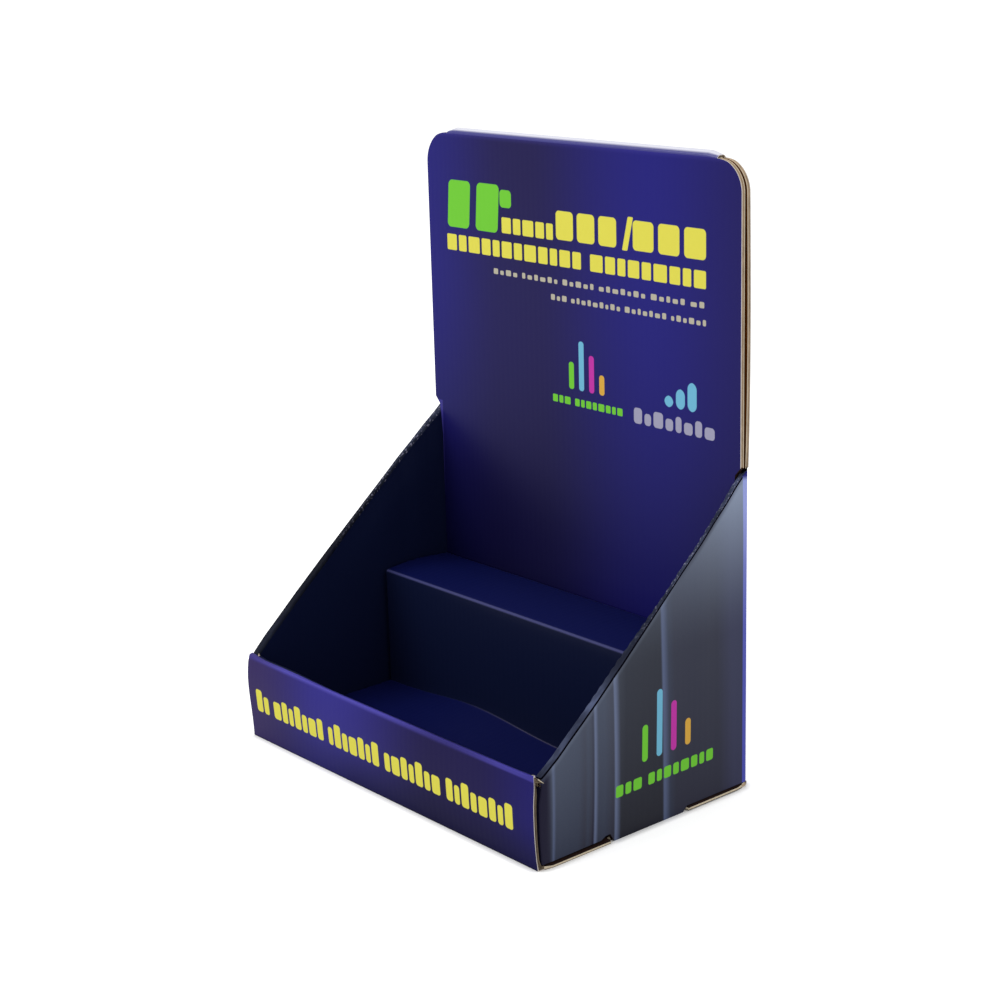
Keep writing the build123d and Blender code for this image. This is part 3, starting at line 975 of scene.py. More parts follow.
class Finish:
    """A node material that is built up step by step."""

    def __init__(self, name, roughness, specular=0.3, index=1.5):
        self.material = bpy.data.materials.new(name)
        self.material.use_nodes = True
        self.tree = self.material.node_tree
        self.shader = self.tree.nodes["Principled BSDF"]
        self.shader.inputs["Roughness"].default_value = roughness
        self.shader.inputs["Specular IOR Level"].default_value = specular
        self.shader.inputs["IOR"].default_value = index
        self.object_place = self.add("ShaderNodeTexCoord").outputs["Object"]
        split = self.add("ShaderNodeSeparateXYZ")
        self.join(self.object_place, split.inputs[0])
        self.x, self.y, self.z = split.outputs

    def add(self, kind, **settings):
        """A new node with its settings."""
        node = self.tree.nodes.new(kind)
        for key, value in settings.items():
            setattr(node, key, value)
        return node

    def join(self, source, target):
        """Links a socket, or sets a plain value."""
        if isinstance(source, bpy.types.NodeSocket):
            self.tree.links.new(source, target)
        else:
            target.default_value = source

    def math(self, operation, *values):
        """Result of a math node."""
        node = self.add("ShaderNodeMath", operation=operation)
        for value, socket in zip(values, node.inputs):
            self.join(value, socket)
        return node.outputs[0]

    def between(self, value, low, high, from_value=0.0, to_value=1.0, kind="LINEAR"):
        """The value's share of the way from low to high."""
        node = self.add("ShaderNodeMapRange", interpolation_type=kind)
        for socket, setting in zip(node.inputs, (value, low, high, from_value, to_value)):
            self.join(setting, socket)
        return node.outputs[0]

    def mix(self, share, first, second):
        """Mix of two colours."""
        node = self.add("ShaderNodeMix", data_type="RGBA")
        self.join(share, node.inputs["Factor"])
        for name, colour in (("A", first), ("B", second)):
            socket = next(s for s in node.inputs if s.name == name and s.type == "RGBA")
            self.join((*colour, 1.0) if not isinstance(colour, bpy.types.NodeSocket) else colour, socket)
        return next(s for s in node.outputs if s.type == "RGBA")

    def noise(self, scale, detail=2.0, stretch=(1, 1, 1)):
        """Soft noise in object space."""
        mapping = self.add("ShaderNodeMapping")
        self.join(self.object_place, mapping.inputs["Vector"])
        mapping.inputs["Scale"].default_value = stretch
        node = self.add("ShaderNodeTexNoise")
        self.join(mapping.outputs[0], node.inputs["Vector"])
        node.inputs["Scale"].default_value = scale
        node.inputs["Detail"].default_value = detail
        return node.outputs["Fac"]

    def ramp(self, share, stops, kind="CONSTANT"):
        """Colour ramp with stops of place and colour."""
        node = self.add("ShaderNodeValToRGB")
        self.join(share, node.inputs[0])
        ramp = node.color_ramp
        ramp.interpolation = kind
        while len(ramp.elements) < len(stops):
            ramp.elements.new(0.5)
        while len(ramp.elements) > len(stops):
            ramp.elements.remove(ramp.elements[-1])
        for element, (place, colour) in zip(ramp.elements, stops):
            element.position = place
            element.color = (*colour, 1.0)
        return node.outputs[0]

    def bump(self, heights):
        """Bump from pairs of height and the distance, in metres, that a height of one stands for."""
        normal = None
        for height, distance in heights:
            node = self.add("ShaderNodeBump")
            node.inputs["Strength"].default_value = 1.0
            node.inputs["Distance"].default_value = distance
            self.join(height, node.inputs["Height"])
            if normal is not None:
                self.join(normal, node.inputs["Normal"])
            normal = node.outputs[0]
        self.join(normal, self.shader.inputs["Normal"])

    def colour(self, colour):
        """Sets the base colour."""
        self.join((*colour, 1.0) if not isinstance(colour, bpy.types.NodeSocket) else colour,
                  self.shader.inputs["Base Color"])


def film_bump(finish, along, pitch):
    """Faint flute lines under the film, with the soft unevenness of laminated paper."""
    lines = finish.math("SINE", finish.math("MULTIPLY", along, 2 * math.pi / pitch))
    patches = finish.noise(22.0, 1.0)
    washboard = finish.math("MULTIPLY", lines, patches)
    grain = finish.noise(900.0, 2.0)
    waves = finish.noise(14.0, 1.0, (1, 1, 0.6))
    finish.bump([(washboard, mm(0.012)), (grain, mm(0.006)), (waves, mm(0.25))])


PrintRow = namedtuple("PrintRow", "start end low high words colours lean corner space heights", defaults=(
    0.0, 0.8, 0.22, (1.0,)))
BLOCK_WIDTHS = (1.0, 0.8, 1.15, 0.9, 0.7)
WORD_SPACE = 0.62
PRINT_SOFTNESS = mm(0.12)

HEADER_ROWS = (
    PrintRow(-86.4, -50.6, 227.0, 249.0, (2,), ("green",), 0.08, 2.5, 0.3),
    PrintRow(-48.6, -40.7, 239.0, 247.0, (1,), ("green",), 0.0, 2.0),
    PrintRow(-47.6, -12.9, 227.4, 234.6, (5,), ("yellow",)),
    PrintRow(-10.9, 27.5, 228.0, 240.8, (3,), ("yellow",), 0.0, 2.0),
    PrintRow(31.0, 34.2, 227.4, 242.0, (1,), ("yellow",), 0.25, 0.6),
    PrintRow(37.6, 80.4, 228.0, 240.8, (3,), ("yellow",), 0.0, 2.0),
    PrintRow(-87.0, 80.4, 216.1, 223.6, (12, 9), ("yellow",)),
    PrintRow(-54.0, 79.4, 208.0, 210.6, (4, 6, 5, 7, 5, 2), ("pale",), 0.0, 0.6, 0.5, (1.0, 0.75)),
    PrintRow(-15.0, 80.4, 200.6, 203.2, (3, 9, 7, 6), ("pale",), 0.0, 0.6, 0.5, (1.0, 0.75)),
    PrintRow(-4.0, 18.9, 161.6, 184.0, (4,), ("green", "sky", "magenta", "amber"), 0.0, 1.4, 1.0,
             (0.55, 1.0, 0.75, 0.4)),
    PrintRow(-15.0, 30.2, 154.2, 157.6, (3, 8), ("green",), 0.0, 0.6, 0.3),
    PrintRow(56.0, 75.0, 163.0, 175.5, (3,), ("sky",), 0.0, 3.0, 0.3, (0.4, 0.7, 1.0)),
    PrintRow(37.3, 85.4, 152.6, 159.6, (8,), ("silver",), 0.0, 1.6, 0.3, (1.0, 0.75)),
)
LIP_ROWS = (
    PrintRow(-94.4, 87.0, 14.2, 25.2, (2, 7, 7, 7, 8), ("yellow",), 0.0, 1.4, 0.25,
             (1.0, 0.78, 0.78, 0.92, 0.78)),
)
SIDE_ROWS = (
    PrintRow(-4.0, 25.0, 30.5, 60.0, (4,), ("green", "sky", "magenta", "amber"), 0.0, 1.6, 1.6,
             (0.55, 1.0, 0.75, 0.4)),
    PrintRow(-19.0, 39.0, 19.2, 24.4, (3, 8), ("green",), 0.0, 1.0, 0.3),
)


def block_places(row):
    """Middles and half-widths of a row's blocks, as shares of its length."""
    middles, halves, reach = [], [], 0.0
    for word in row.words:
        for _ in range(word):
            width = BLOCK_WIDTHS[len(middles) % len(BLOCK_WIDTHS)] if sum(row.words) > 4 else 1.0
            middles.append(reach + width / 2)
            halves.append(width / 2)
            reach += width + row.space
        reach += WORD_SPACE
    length = reach - WORD_SPACE - row.space
    return np.array(middles) / length, np.array(halves) / length


def print_row(finish, ground, across, row, settings):
    """Prints a row of rounded blocks over the ground, all standing on its lower line."""
    middles, halves = block_places(row)
    rights, lefts = (middles + halves)[:-1], (middles - halves)[1:]
    cuts = [0.0, *(rights + lefts) / 2]
    start, length, low, tall = mm(row.start), mm(row.end - row.start), mm(row.low), mm(row.high - row.low)
    rise = finish.math("SUBTRACT", finish.z, low)
    leaned = finish.math(
        "SUBTRACT", finish.math("SUBTRACT", across, start), finish.math("MULTIPLY", rise, row.lean))
    share = finish.math("DIVIDE", leaned, length)
    heights = [row.heights[k % len(row.heights)] for k in range(len(cuts))]
    blocks = finish.ramp(share, list(zip(cuts, zip(middles, halves, heights))))
    split = finish.add("ShaderNodeSeparateColor")
    finish.join(blocks, split.inputs[0])
    middle, half, height = split.outputs
    off_middle = finish.math("ABSOLUTE", finish.math("SUBTRACT", share, middle))
    beside = finish.math("MULTIPLY", finish.math("SUBTRACT", off_middle, half), length)
    half_tall = finish.math("MULTIPLY", height, tall / 2)
    above = finish.math(
        "SUBTRACT", finish.math("ABSOLUTE", finish.math("SUBTRACT", rise, half_tall)), half_tall)
    corner = mm(row.corner)
    past = [finish.math("POWER", finish.math("MAXIMUM", finish.math("ADD", way, corner), 0.0), 2.0)
            for way in (beside, above)]
    distance = finish.math("SUBTRACT", finish.math("SQRT", finish.math("ADD", *past)), corner)
    mask = finish.between(distance, -PRINT_SOFTNESS, PRINT_SOFTNESS, 1.0, 0.0)
    if len(row.colours) > 1:
        inks = [getattr(settings, row.colours[k % len(row.colours)]) for k in range(len(cuts))]
        ink = finish.ramp(share, list(zip(cuts, inks)))
    else:
        ink = getattr(settings, row.colours[0])
    return finish.mix(mask, ground, ink)


def mixed_print(finish, settings, bands):
    """Deep blue with plum clouds and soft upright bands of bright blue: middle, reach and strength."""
    clouds = finish.noise(7.0, 1.0, (1, 1, 0.5))
    colour = finish.mix(finish.between(clouds, 0.35, 0.65), settings.deep_blue, settings.plum)
    for middle, reach, strength in bands:
        off = finish.math("ABSOLUTE", finish.math("SUBTRACT", finish.x, mm(middle)))
        band = finish.between(off, 0.0, mm(reach), strength, 0.0, "SMOOTHSTEP")
        colour = finish.mix(band, colour, settings.bright_blue)
    return colour


def header_finish(settings, board):
    """Print of the header and the back's lining, with painted shade that darkens it down into the tray, a
    painted shadow of the left wall and painted highlights along its top and the lining's left edge.
    """
    finish = Finish("header_print", 0.34, 0.08)
    colour = mixed_print(finish, settings, [(-108, 60, 0.9), (47, 75, 1.0)])
    # Painted shade: the lining darkens down into the tray, most at the left.
    fade = finish.between(finish.z, mm(60), mm(215), 0.75, 0.0, "SMOOTHSTEP")
    left = finish.between(finish.x, mm(-100), mm(70), 1.0, 0.65)
    colour = finish.mix(finish.math("MULTIPLY", fade, left), colour, settings.shade_and_streak_blue)
    # Painted shadow of the left wall: a soft diagonal edge across the lining's left part.
    level = finish.math("ADD", finish.z, finish.math("MULTIPLY", finish.x, 0.22))
    shaded = finish.between(level, mm(88), mm(124), 0.4, 0.0, "SMOOTHSTEP")
    corner = finish.math("MULTIPLY", shaded, finish.between(finish.x, mm(-96), mm(20), 1.0, 0.0))
    colour = finish.mix(corner, colour, settings.shade_and_streak_blue)
    # Painted highlight just under the header's top crease.
    top = finish.between(finish.z, HEIGHT - mm(4.0), HEIGHT - mm(0.6), 0.0, 0.3, "SMOOTHSTEP")
    colour = finish.mix(top, colour, settings.highlight_blue)
    # Painted highlight along the lining's left edge, from 95 mm up to below the shoulder.
    inner_edge = finish.between(finish.x, -LINING_HALF + mm(0.4), -LINING_HALF + mm(0.9), 0.5, 0.0)
    lit = finish.math("MULTIPLY", finish.between(finish.z, mm(95), mm(135)), inner_edge)
    lit = finish.math("MULTIPLY", lit, finish.math("LESS_THAN", finish.z, mm(142)))
    colour = finish.mix(lit, colour, settings.highlight_blue)
    for row in HEADER_ROWS:
        colour = print_row(finish, colour, finish.x, row, settings)
    finish.colour(colour)
    film_bump(finish, finish.x, board.flute_pitch)
    return finish.material


def crown_finish(settings, board):
    """Strip over the top of the header, whose film shines, with a painted glare over its rear part."""
    finish = Finish("crown_print", 0.3, 0.5)
    # Painted highlight: glare over the rear part of the strip.
    shine = finish.between(finish.y, DEPTH / 2 - mm(4.6), DEPTH / 2 - mm(3.8))
    finish.colour(finish.mix(shine, settings.bright_blue, settings.glare))
    film_bump(finish, finish.x, board.flute_pitch)
    return finish.material


def lip_finish(settings, board):
    """Print of the lip's outer face and its rolled top, with a painted highlight along the top fold, a
    painted lighter left end and painted shade along the foot fold.
    """
    finish = Finish("lip_print", 0.34, 0.08, 1.32)
    colour = mixed_print(finish, settings, [(104, 40, 0.5)])
    off = finish.math("ABSOLUTE", finish.math("ADD", finish.x, mm(38)))
    colour = finish.mix(finish.between(off, 0.0, mm(75), 0.95, 0.0, "SMOOTHSTEP"), colour, settings.lip_blue)
    # Painted light: the lip's left end is mixed towards a lighter violet.
    left = finish.between(finish.x, mm(-100), mm(-45), 0.9, 0.0, "SMOOTHSTEP")
    colour = finish.mix(left, colour, settings.lip_violet)
    foot = finish.between(finish.z, 0.0, mm(24), 0.72, 0.0, "SMOOTHSTEP")
    foot = finish.math("MULTIPLY", foot, finish.between(finish.x, mm(-100), mm(-20), 0.1, 1.0))
    colour = finish.mix(foot, colour, settings.low_blue)
    # Painted highlight along the lip's top fold, weaker at both ends and round 45 mm.
    reach = finish.between(finish.x, mm(40), mm(95), mm(2.5), mm(1.5))
    below_top = finish.math("SUBTRACT", LIP_HEIGHT, finish.z)
    rolled = finish.between(below_top, mm(0.6), reach, 0.9, 0.0, "SMOOTHSTEP")
    rolled = finish.math("MULTIPLY", rolled, finish.between(finish.x, mm(-99), mm(-72), 0.35, 1.0))
    rolled = finish.math("MULTIPLY", rolled, finish.between(finish.x, mm(78), mm(99), 1.0, 0.6))
    dull = finish.math("ABSOLUTE", finish.math("SUBTRACT", finish.x, mm(45)))
    rolled = finish.math("MULTIPLY", rolled, finish.between(dull, 0.0, mm(60), 0.4, 1.0, "SMOOTHSTEP"))
    colour = finish.mix(rolled, colour, settings.highlight_blue)
    # Painted shade along the lip's foot fold.
    fold = finish.between(finish.z, mm(0.2), mm(0.8), 0.8, 0.0)
    colour = finish.mix(fold, colour, settings.shade_and_streak_blue)
    for row in LIP_ROWS:
        colour = print_row(finish, colour, finish.x, row, settings)
    finish.colour(colour)
    film_bump(finish, finish.x, board.flute_pitch)
    return finish.material


SIDE_BANDS = (
    (0.0, "night"), (5.6, "night"), (6.8, "steel"), (7.7, "mist"), (8.8, "steel"),
    (21.0, "steel"), (24.5, "charcoal"), (26.2, "steel"), (28.3, "charcoal"), (28.8, "night"),
    (29.4, "night"), (30.1, "frost"), (30.5, "frost"), (32.0, "steel"), (36.0, "steel"),
    (40.2, "charcoal"), (41.2, "charcoal"), (41.8, "frost"), (42.3, "frost"), (45.0, "coal"),
    (69.7, "coal"), (70.3, "mist"), (71.2, "mist"), (74.0, "steel"), (77.5, "charcoal"),
    (90.0, "charcoal"), (104.0, "charcoal"), (113.0, "violet"),
)


def from_front(millimetres):
    """Place along the depth, counted from the front of the tray."""
    return mm(millimetres) - DEPTH / 2


def with_painted_reflection(finish, colour, settings):
    """Colour with a painted reflection that pales it towards the slope of the side walls, most at their rear,
    with painted light and shade just below the crease.
    """
    steep = (SLOPE_REAR[1] - SLOPE_FRONT[1]) / (SLOPE_REAR[0] - SLOPE_FRONT[0])
    slope = finish.math("MULTIPLY_ADD", finish.y, steep, float(slope_height(DEPTH / 2)))
    strength = finish.between(finish.y, from_front(40), from_front(47), 0.15, 0.07)
    near_slope = finish.math("MULTIPLY", finish.math("DIVIDE", finish.z, slope), strength)
    behind_lip = finish.between(finish.y, from_front(4), from_front(7))
    near_slope = finish.math("MULTIPLY", near_slope, behind_lip)
    high = finish.math("POWER", finish.between(finish.z, mm(72), mm(140)), 1.6)
    rearward = finish.between(finish.y, from_front(75), from_front(113), 0.5, 0.84)
    high = finish.math("MULTIPLY", high, rearward)
    # Just below the crease: painted light towards the front, painted shade towards the rear.
    below = finish.math("SUBTRACT", slope, finish.z)
    crease = finish.between(below, SLOPE_STRETCH * mm(0.7), SLOPE_STRETCH * mm(2.4), 1.0, 0.0)
    lit = finish.between(finish.y, from_front(70), from_front(98), 0.1, -0.3)
    crease = finish.math("MULTIPLY", crease, lit)
    share = finish.math("ADD", finish.math("ADD", near_slope, high), crease)
    return finish.mix(share, colour, settings.painted_reflection)


def side_finish(settings, board):
    """Print of the side walls: upright bands like folds of cloth, under a painted reflection that pales them
    towards the top.
    """
    finish = Finish("side_print", 0.36, 0.08)
    lean = finish.between(finish.y, from_front(25), from_front(45), 0.008, 0.03)
    place = finish.math("ADD", finish.y, finish.math("MULTIPLY", finish.z, lean))
    share = finish.between(place, -DEPTH / 2, DEPTH / 2)
    bands = finish.ramp(share, [(mm(y) / DEPTH, getattr(settings, ink)) for y, ink in SIDE_BANDS], "LINEAR")
    colour = with_painted_reflection(finish, bands, settings)
    for row in SIDE_ROWS:
        colour = print_row(finish, colour, finish.y, row, settings)
    finish.colour(colour)
    film_bump(finish, finish.y, board.flute_pitch)
    return finish.material


# Height in mm and share of the painted light in the rear corners' colour.
WRAP_SHARES = ((0.0, 0.0), (50.0, 0.06), (75.0, 0.12), (100.0, 0.4), (125.0, 0.92), (137.8, 1.0))
WRAP_TOP = mm(139.8)


def wrap_finish(settings, board):
    """Bright blue of the back's print, where it wraps round the rear corners, with painted light that pales
    it upward.
    """
    finish = Finish("wrap_print", 0.34, 0.08)
    rise = finish.between(finish.z, 0.0, SHOULDER_HEIGHT)
    pale, low = settings.wrap_highlight, settings.wrap_blue
    stops = [(mm(z) / SHOULDER_HEIGHT, tuple(a + (b - a) * t for a, b in zip(low, pale)))
             for z, t in WRAP_SHARES]
    stops.append((WRAP_TOP / SHOULDER_HEIGHT, tuple(settings.bright_blue)))
    finish.colour(finish.ramp(rise, stops, "LINEAR"))
    film_bump(finish, finish.z, board.flute_pitch * 3)
    return finish.material


def plain_print(name, colour, light, along, board, specular=0.08):
    """Plain print with soft clouds."""
    finish = Finish(name, 0.36, specular)
    clouds = finish.noise(6.0, 1.0, (1, 1, 0.4))
    finish.colour(finish.mix(finish.between(clouds, 0.3, 0.7), colour, light))
    film_bump(finish, getattr(finish, along), board.flute_pitch)
    return finish.material


# Place along the depth in mm, and the factor on steel for the right and for the left strip; the right's
# higher factors are painted light, the left's lower ones painted shade.
STRIP_SHADES = (
    (3.0, 0.7, 0.3), (10.0, 1.8, 0.45), (16.0, 1.6, 0.36), (23.0, 1.3, 0.26), (31.0, 2.9, 0.2),
    (38.0, 1.0, 0.18), (46.0, 0.6, 0.16), (61.0, 0.6, 0.18), (70.0, 0.75, 0.22), (78.0, 1.0, 0.35),
    (92.0, 1.4, 0.65), (100.0, 0.8, 0.9), (110.0, 1.5, 1.0), (118.0, 2.2, 1.1),
)


def strip_finish(settings, board):
    """Top of the side walls: streaked, painted paler as light at the right and darker as shade at the left,
    and palest at the rear.
    """
    finish = Finish("strip_print", 0.4, 0.03)
    share = finish.between(finish.y, -DEPTH / 2, DEPTH / 2)
    right, left = (
        finish.ramp(share, [(mm(row[0]) / DEPTH, shade(settings.steel, row[side]))
                            for row in STRIP_SHADES], "LINEAR")
        for side in (1, 2))
    colour = finish.mix(finish.math("GREATER_THAN", finish.x, 0.0), left, right)
    streaks = finish.noise(420.0, 2.0, (1, 0.35, 0.35))
    colour = finish.mix(finish.between(streaks, 0.42, 0.6, 0.4, 0.0), colour, settings.shade_and_streak_blue)
    flecks = finish.between(finish.noise(1300.0, 1.0, (1, 0.6, 0.6)), 0.58, 0.66, 0.0, 0.4)
    flecks = finish.math("MULTIPLY", flecks, finish.between(share, mm(50) / DEPTH, mm(80) / DEPTH))
    finish.colour(finish.mix(flecks, colour, settings.silver))
    film_bump(finish, finish.y, board.flute_pitch)
    return finish.material


def step_finish(name, colour, board, settings, lit_foot=False):
    """Print of the insert, with a painted highlight along the riser's top fold and, where asked, beside its
    foot.
    """
    finish = Finish(name, 0.36, 0.08)
    clouds = finish.noise(6.0, 1.0, (1, 1, 0.4))
    colour = finish.mix(finish.between(clouds, 0.3, 0.7), colour, shade(colour, 0.8))
    # Painted highlight along the riser's top fold.
    front = finish.math("ABSOLUTE", finish.math("SUBTRACT", finish.y, RISER_FROM_FRONT - DEPTH / 2 + mm(0.3)))
    fold = finish.between(front, mm(0.5), mm(1.0), 1.0, 0.0)
    top = finish.between(finish.z, STEP_HEIGHT - mm(1.0), STEP_HEIGHT - mm(0.4), 0.0, 0.55)
    colour = finish.mix(finish.math("MULTIPLY", fold, top), colour, settings.top_fold_highlight)
    if lit_foot:
        # Painted highlight beside the riser's foot, strongest at the right.
        riser = RISER_FROM_FRONT - DEPTH / 2
        foot = finish.between(finish.y, riser - mm(1.0), riser - mm(0.6))
        foot = finish.math("MULTIPLY", foot, finish.math("LESS_THAN", finish.z, STEP_HEIGHT / 2))
        foot = finish.math("MULTIPLY", foot, finish.between(finish.x, mm(-40), mm(10), 0.0, 0.7))
        colour = finish.mix(foot, colour, settings.foot_fold_highlight)
    finish.colour(colour)
    film_bump(finish, finish.x, board.flute_pitch)
    return finish.material


LINER_GRAIN = 260.0
FLUTE_GRAIN = 700.0
EDGE_GRAIN = 900.0


def hollow_finish(settings):
    """Liners between the layers and deep raw edges, painted brown as kraft in shade, and painted near-black
    as shade in the gaps below the header.
    """
    finish = Finish("shaded_hollow_liner", 0.85, 0.2)
    fibres = finish.noise(LINER_GRAIN, 4.0, (1, 1, 0.3))
    brown = settings.shadow_brown
    colour = finish.mix(finish.between(fibres, 0.3, 0.7), brown, shade(brown, 0.5))
    header = HEADER_LOW + SHOULDER_CUT
    # Painted shade: near-black below the header's shoulder.
    deep = finish.between(finish.z, header - mm(0.4), header, 0.9, 0.0)
    finish.colour(finish.mix(deep, colour, shade(settings.night, 0.15)))
    finish.bump([(fibres, mm(0.05))])
    return finish.material


def paper_finish(name, colour, darker, scale):
    """Unprinted paper with its fibres."""
    finish = Finish(name, 0.85, 0.2)
    fibres = finish.noise(scale, 4.0, (1, 1, 0.3))
    finish.colour(finish.mix(finish.between(fibres, 0.3, 0.7), colour, darker))
    finish.bump([(fibres, mm(0.05))])
    return finish.material


def shade(colour, factor):
    """The colour, brighter or darker."""
    return tuple(min(1.0, c * factor) for c in colour)


def board_finishes(settings, board):
    """All finishes of the folded sheets, by the zone that they cover."""
    night, navy, kraft, flute = settings.night, settings.navy, settings.kraft, settings.flute
    return {
        "lip": lip_finish(settings, board),
        "header": header_finish(settings, board),
        "crown": crown_finish(settings, board),
        "side": side_finish(settings, board),
        "wrap": wrap_finish(settings, board),
        # Near-black painted shade for the strips' outer creases and for wrapped raw ends.
        "crease": plain_print("crease_shade", shade(night, 0.2), shade(night, 0.1), "y", board, 0.0),
        "strip": strip_finish(settings, board),
        "inside": plain_print("inside_print", navy, shade(navy, 0.8), "y", board),
        "back": plain_print("back_print", settings.deep_blue, settings.bright_blue, "x", board),
        "underside": plain_print("underside_print", navy, shade(navy, 1.3), "x", board),
        "step": step_finish("step_print", shade(navy, 0.9), board, settings),
        "tread": step_finish("tread_print", settings.tread_blue, board, settings, lit_foot=True),
        "kraft": paper_finish("kraft_liner", shade(kraft, 0.6), shade(kraft, 0.4), LINER_GRAIN),
        "hollow": hollow_finish(settings),
        "paper_edge": paper_finish("paper_edge", settings.paper, shade(settings.paper, 0.8), EDGE_GRAIN),
        "flute_edge": paper_finish("flute_edge", flute, shade(flute, 0.7), FLUTE_GRAIN),
        # Crushed flute: a darker copy of the cut flute, for the crushed board and painted shade in its opened
        # flutes.
        "crushed_edge": paper_finish("crushed_edge", shade(flute, 0.34), shade(flute, 0.18), FLUTE_GRAIN),
        "kraft_edge": paper_finish("kraft_edge", kraft, shade(kraft, 0.8), EDGE_GRAIN),
    }


# Operators

FLOOR_REACH = 60.0
FLOOR_GREY = 0.6
FLOOR_PALE = 0.92
FLOOR_GLOW = 0.58
CONTACT_REACH = mm(4.0)
CONTACT_DEPTH = 2.6
KEY_LAMP = ((-0.9, -1.5, 1.7), 1.4)
FILL_LAMP = ((1.9, 0.2, 1.0), 1.6)


class DISPLAY_OT_studio(bpy.types.Operator):
    """Sets up the pale floor, the soft light and the camera"""

    bl_idname = "display.studio"
    bl_label = "Studio"

    def execute(self, context):
        studio = context.scene.display_studio
        context.scene.view_settings.view_transform = "Standard"
        lay_floor()
        light_world(studio.sky)
        add_lamp("key_lamp", *KEY_LAMP, studio.key)
        add_lamp("fill_lamp", *FILL_LAMP, studio.fill)
        place_camera(context)
        return {"FINISHED"}


def lay_floor():
    """A wide pale floor that shows white to the camera where nothing shades it."""
    mesh = bpy.data.meshes.new("floor")
    corners = [(x * FLOOR_REACH, y * FLOOR_REACH, 0) for x, y in ((-1, -1), (1, -1), (1, 1), (-1, 1))]
    mesh.from_pydata(corners, [], [(0, 1, 2, 3)])
    floor = bpy.data.objects.new("floor", mesh)
    bpy.context.scene.collection.objects.link(floor)
    material = bpy.data.materials.new("pale_floor")
    material.use_nodes = True
    nodes, links = material.node_tree.nodes, material.node_tree.links
    shader = nodes["Principled BSDF"]
    shader.inputs["Base Color"].default_value = (FLOOR_GREY, FLOOR_GREY, FLOOR_GREY, 1)
    shader.inputs["Roughness"].default_value = 0.9
    shader.inputs["Specular IOR Level"].default_value = 0.0
    shader.inputs["Emission Color"].default_value = (1, 1, 1, 1)
    path = nodes.new("ShaderNodeLightPath")
    shown = nodes.new("ShaderNodeMapRange")
    links.new(path.outputs["Is Camera Ray"], shown.inputs["Value"])
    shown.inputs["To Min"].default_value = FLOOR_GREY
    shown.inputs["To Max"].default_value = FLOOR_PALE
    links.new(shown.outputs[0], shader.inputs["Base Color"])
    seen = nodes.new("ShaderNodeMath")
    seen.operation = "MAXIMUM"
    links.new(path.outputs["Is Camera Ray"], seen.inputs[0])
    links.new(path.outputs["Is Glossy Ray"], seen.inputs[1])
    # The floor's glow is darkened by ambient occlusion: a painted contact shadow round the stand's foot.
    contact = nodes.new("ShaderNodeAmbientOcclusion")
    contact.samples = 8
    contact.inputs["Distance"].default_value = CONTACT_REACH
    deep = nodes.new("ShaderNodeMath")
    deep.operation = "POWER"
    links.new(contact.outputs["AO"], deep.inputs[0])
    deep.inputs[1].default_value = CONTACT_DEPTH
    level = nodes.new("ShaderNodeMath")
    level.operation = "MULTIPLY"
    level.inputs[1].default_value = FLOOR_GLOW
    links.new(deep.outputs[0], level.inputs[0])
    strength = nodes.new("ShaderNodeMath")
    strength.operation = "MULTIPLY"
    links.new(level.outputs[0], strength.inputs[1])
    links.new(seen.outputs[0], strength.inputs[0])
    links.new(strength.outputs[0], shader.inputs["Emission Strength"])
    mesh.materials.append(material)


def light_world(strength):
    """Soft even light, which shows as white behind the object."""
    world = bpy.context.scene.world or bpy.data.worlds.new("studio")
    bpy.context.scene.world = world
    world.use_nodes = True
    nodes, links = world.node_tree.nodes, world.node_tree.links
    background = nodes["Background"]
    background.inputs["Color"].default_value = (1, 1, 1, 1)
    path = nodes.new("ShaderNodeLightPath")
    seen = nodes.new("ShaderNodeMath")
    seen.operation = "MAXIMUM"
    links.new(path.outputs["Is Camera Ray"], seen.inputs[0])
    links.new(path.outputs["Is Glossy Ray"], seen.inputs[1])
    level = nodes.new("ShaderNodeMapRange")
    links.new(seen.outputs[0], level.inputs["Value"])
    level.inputs["To Min"].default_value = strength
    level.inputs["To Max"].default_value = 1.0
    links.new(level.outputs[0], background.inputs["Strength"])


def add_lamp(name, place, size, power):
    """Soft square lamp that looks at the middle of the stand."""
    lamp = bpy.data.lights.new(name, "AREA")
    lamp.size = size
    lamp.energy = power
    holder = bpy.data.objects.new(name, lamp)
    bpy.context.scene.collection.objects.link(holder)
    holder.location = place
    aim = Vector((0, 0, HEIGHT / 2)) - Vector(place)
    holder.rotation_euler = aim.to_track_quat("-Z", "Y").to_euler()


def place_camera(context):
    """Camera where the photograph was taken from."""
    azimuth, elevation, roll = map(math.radians, (CAMERA_AZIMUTH, CAMERA_ELEVATION, CAMERA_ROLL))
    back = Vector((math.sin(azimuth) * math.cos(elevation), -math.cos(azimuth) * math.cos(elevation),
                   math.sin(elevation)))
    level = Vector((math.cos(azimuth), math.sin(azimuth), 0))
    upright = back.cross(level)
    right = level * math.cos(roll) + upright * math.sin(roll)
    up = upright * math.cos(roll) - level * math.sin(roll)
    lens = bpy.data.cameras.new("camera")
    lens.lens = CAMERA_LENS
    lens.sensor_width = SENSOR
    lens.clip_start, lens.clip_end = 0.05, 200.0
    camera = bpy.data.objects.new("camera", lens)
    turn = Matrix((right, up, back)).transposed().to_4x4()
    camera.matrix_world = Matrix.Translation(CAMERA_PLACE) @ turn
    context.scene.collection.objects.link(camera)
    context.scene.camera = camera


class DISPLAY_OT_tray(bpy.types.Operator):
    """Folds the tray and its header from one printed sheet"""

    bl_idname = "display.tray"
    bl_label = "Tray and header"

    def execute(self, context):
        board, settings = context.scene.display_board, context.scene.display_print
        tray = make_board("folded_tray", tray_sheet(board), board, board_finishes(settings, board), "hollow")
        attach(tray, "root")
        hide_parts("display_body")
        return {"FINISHED"}


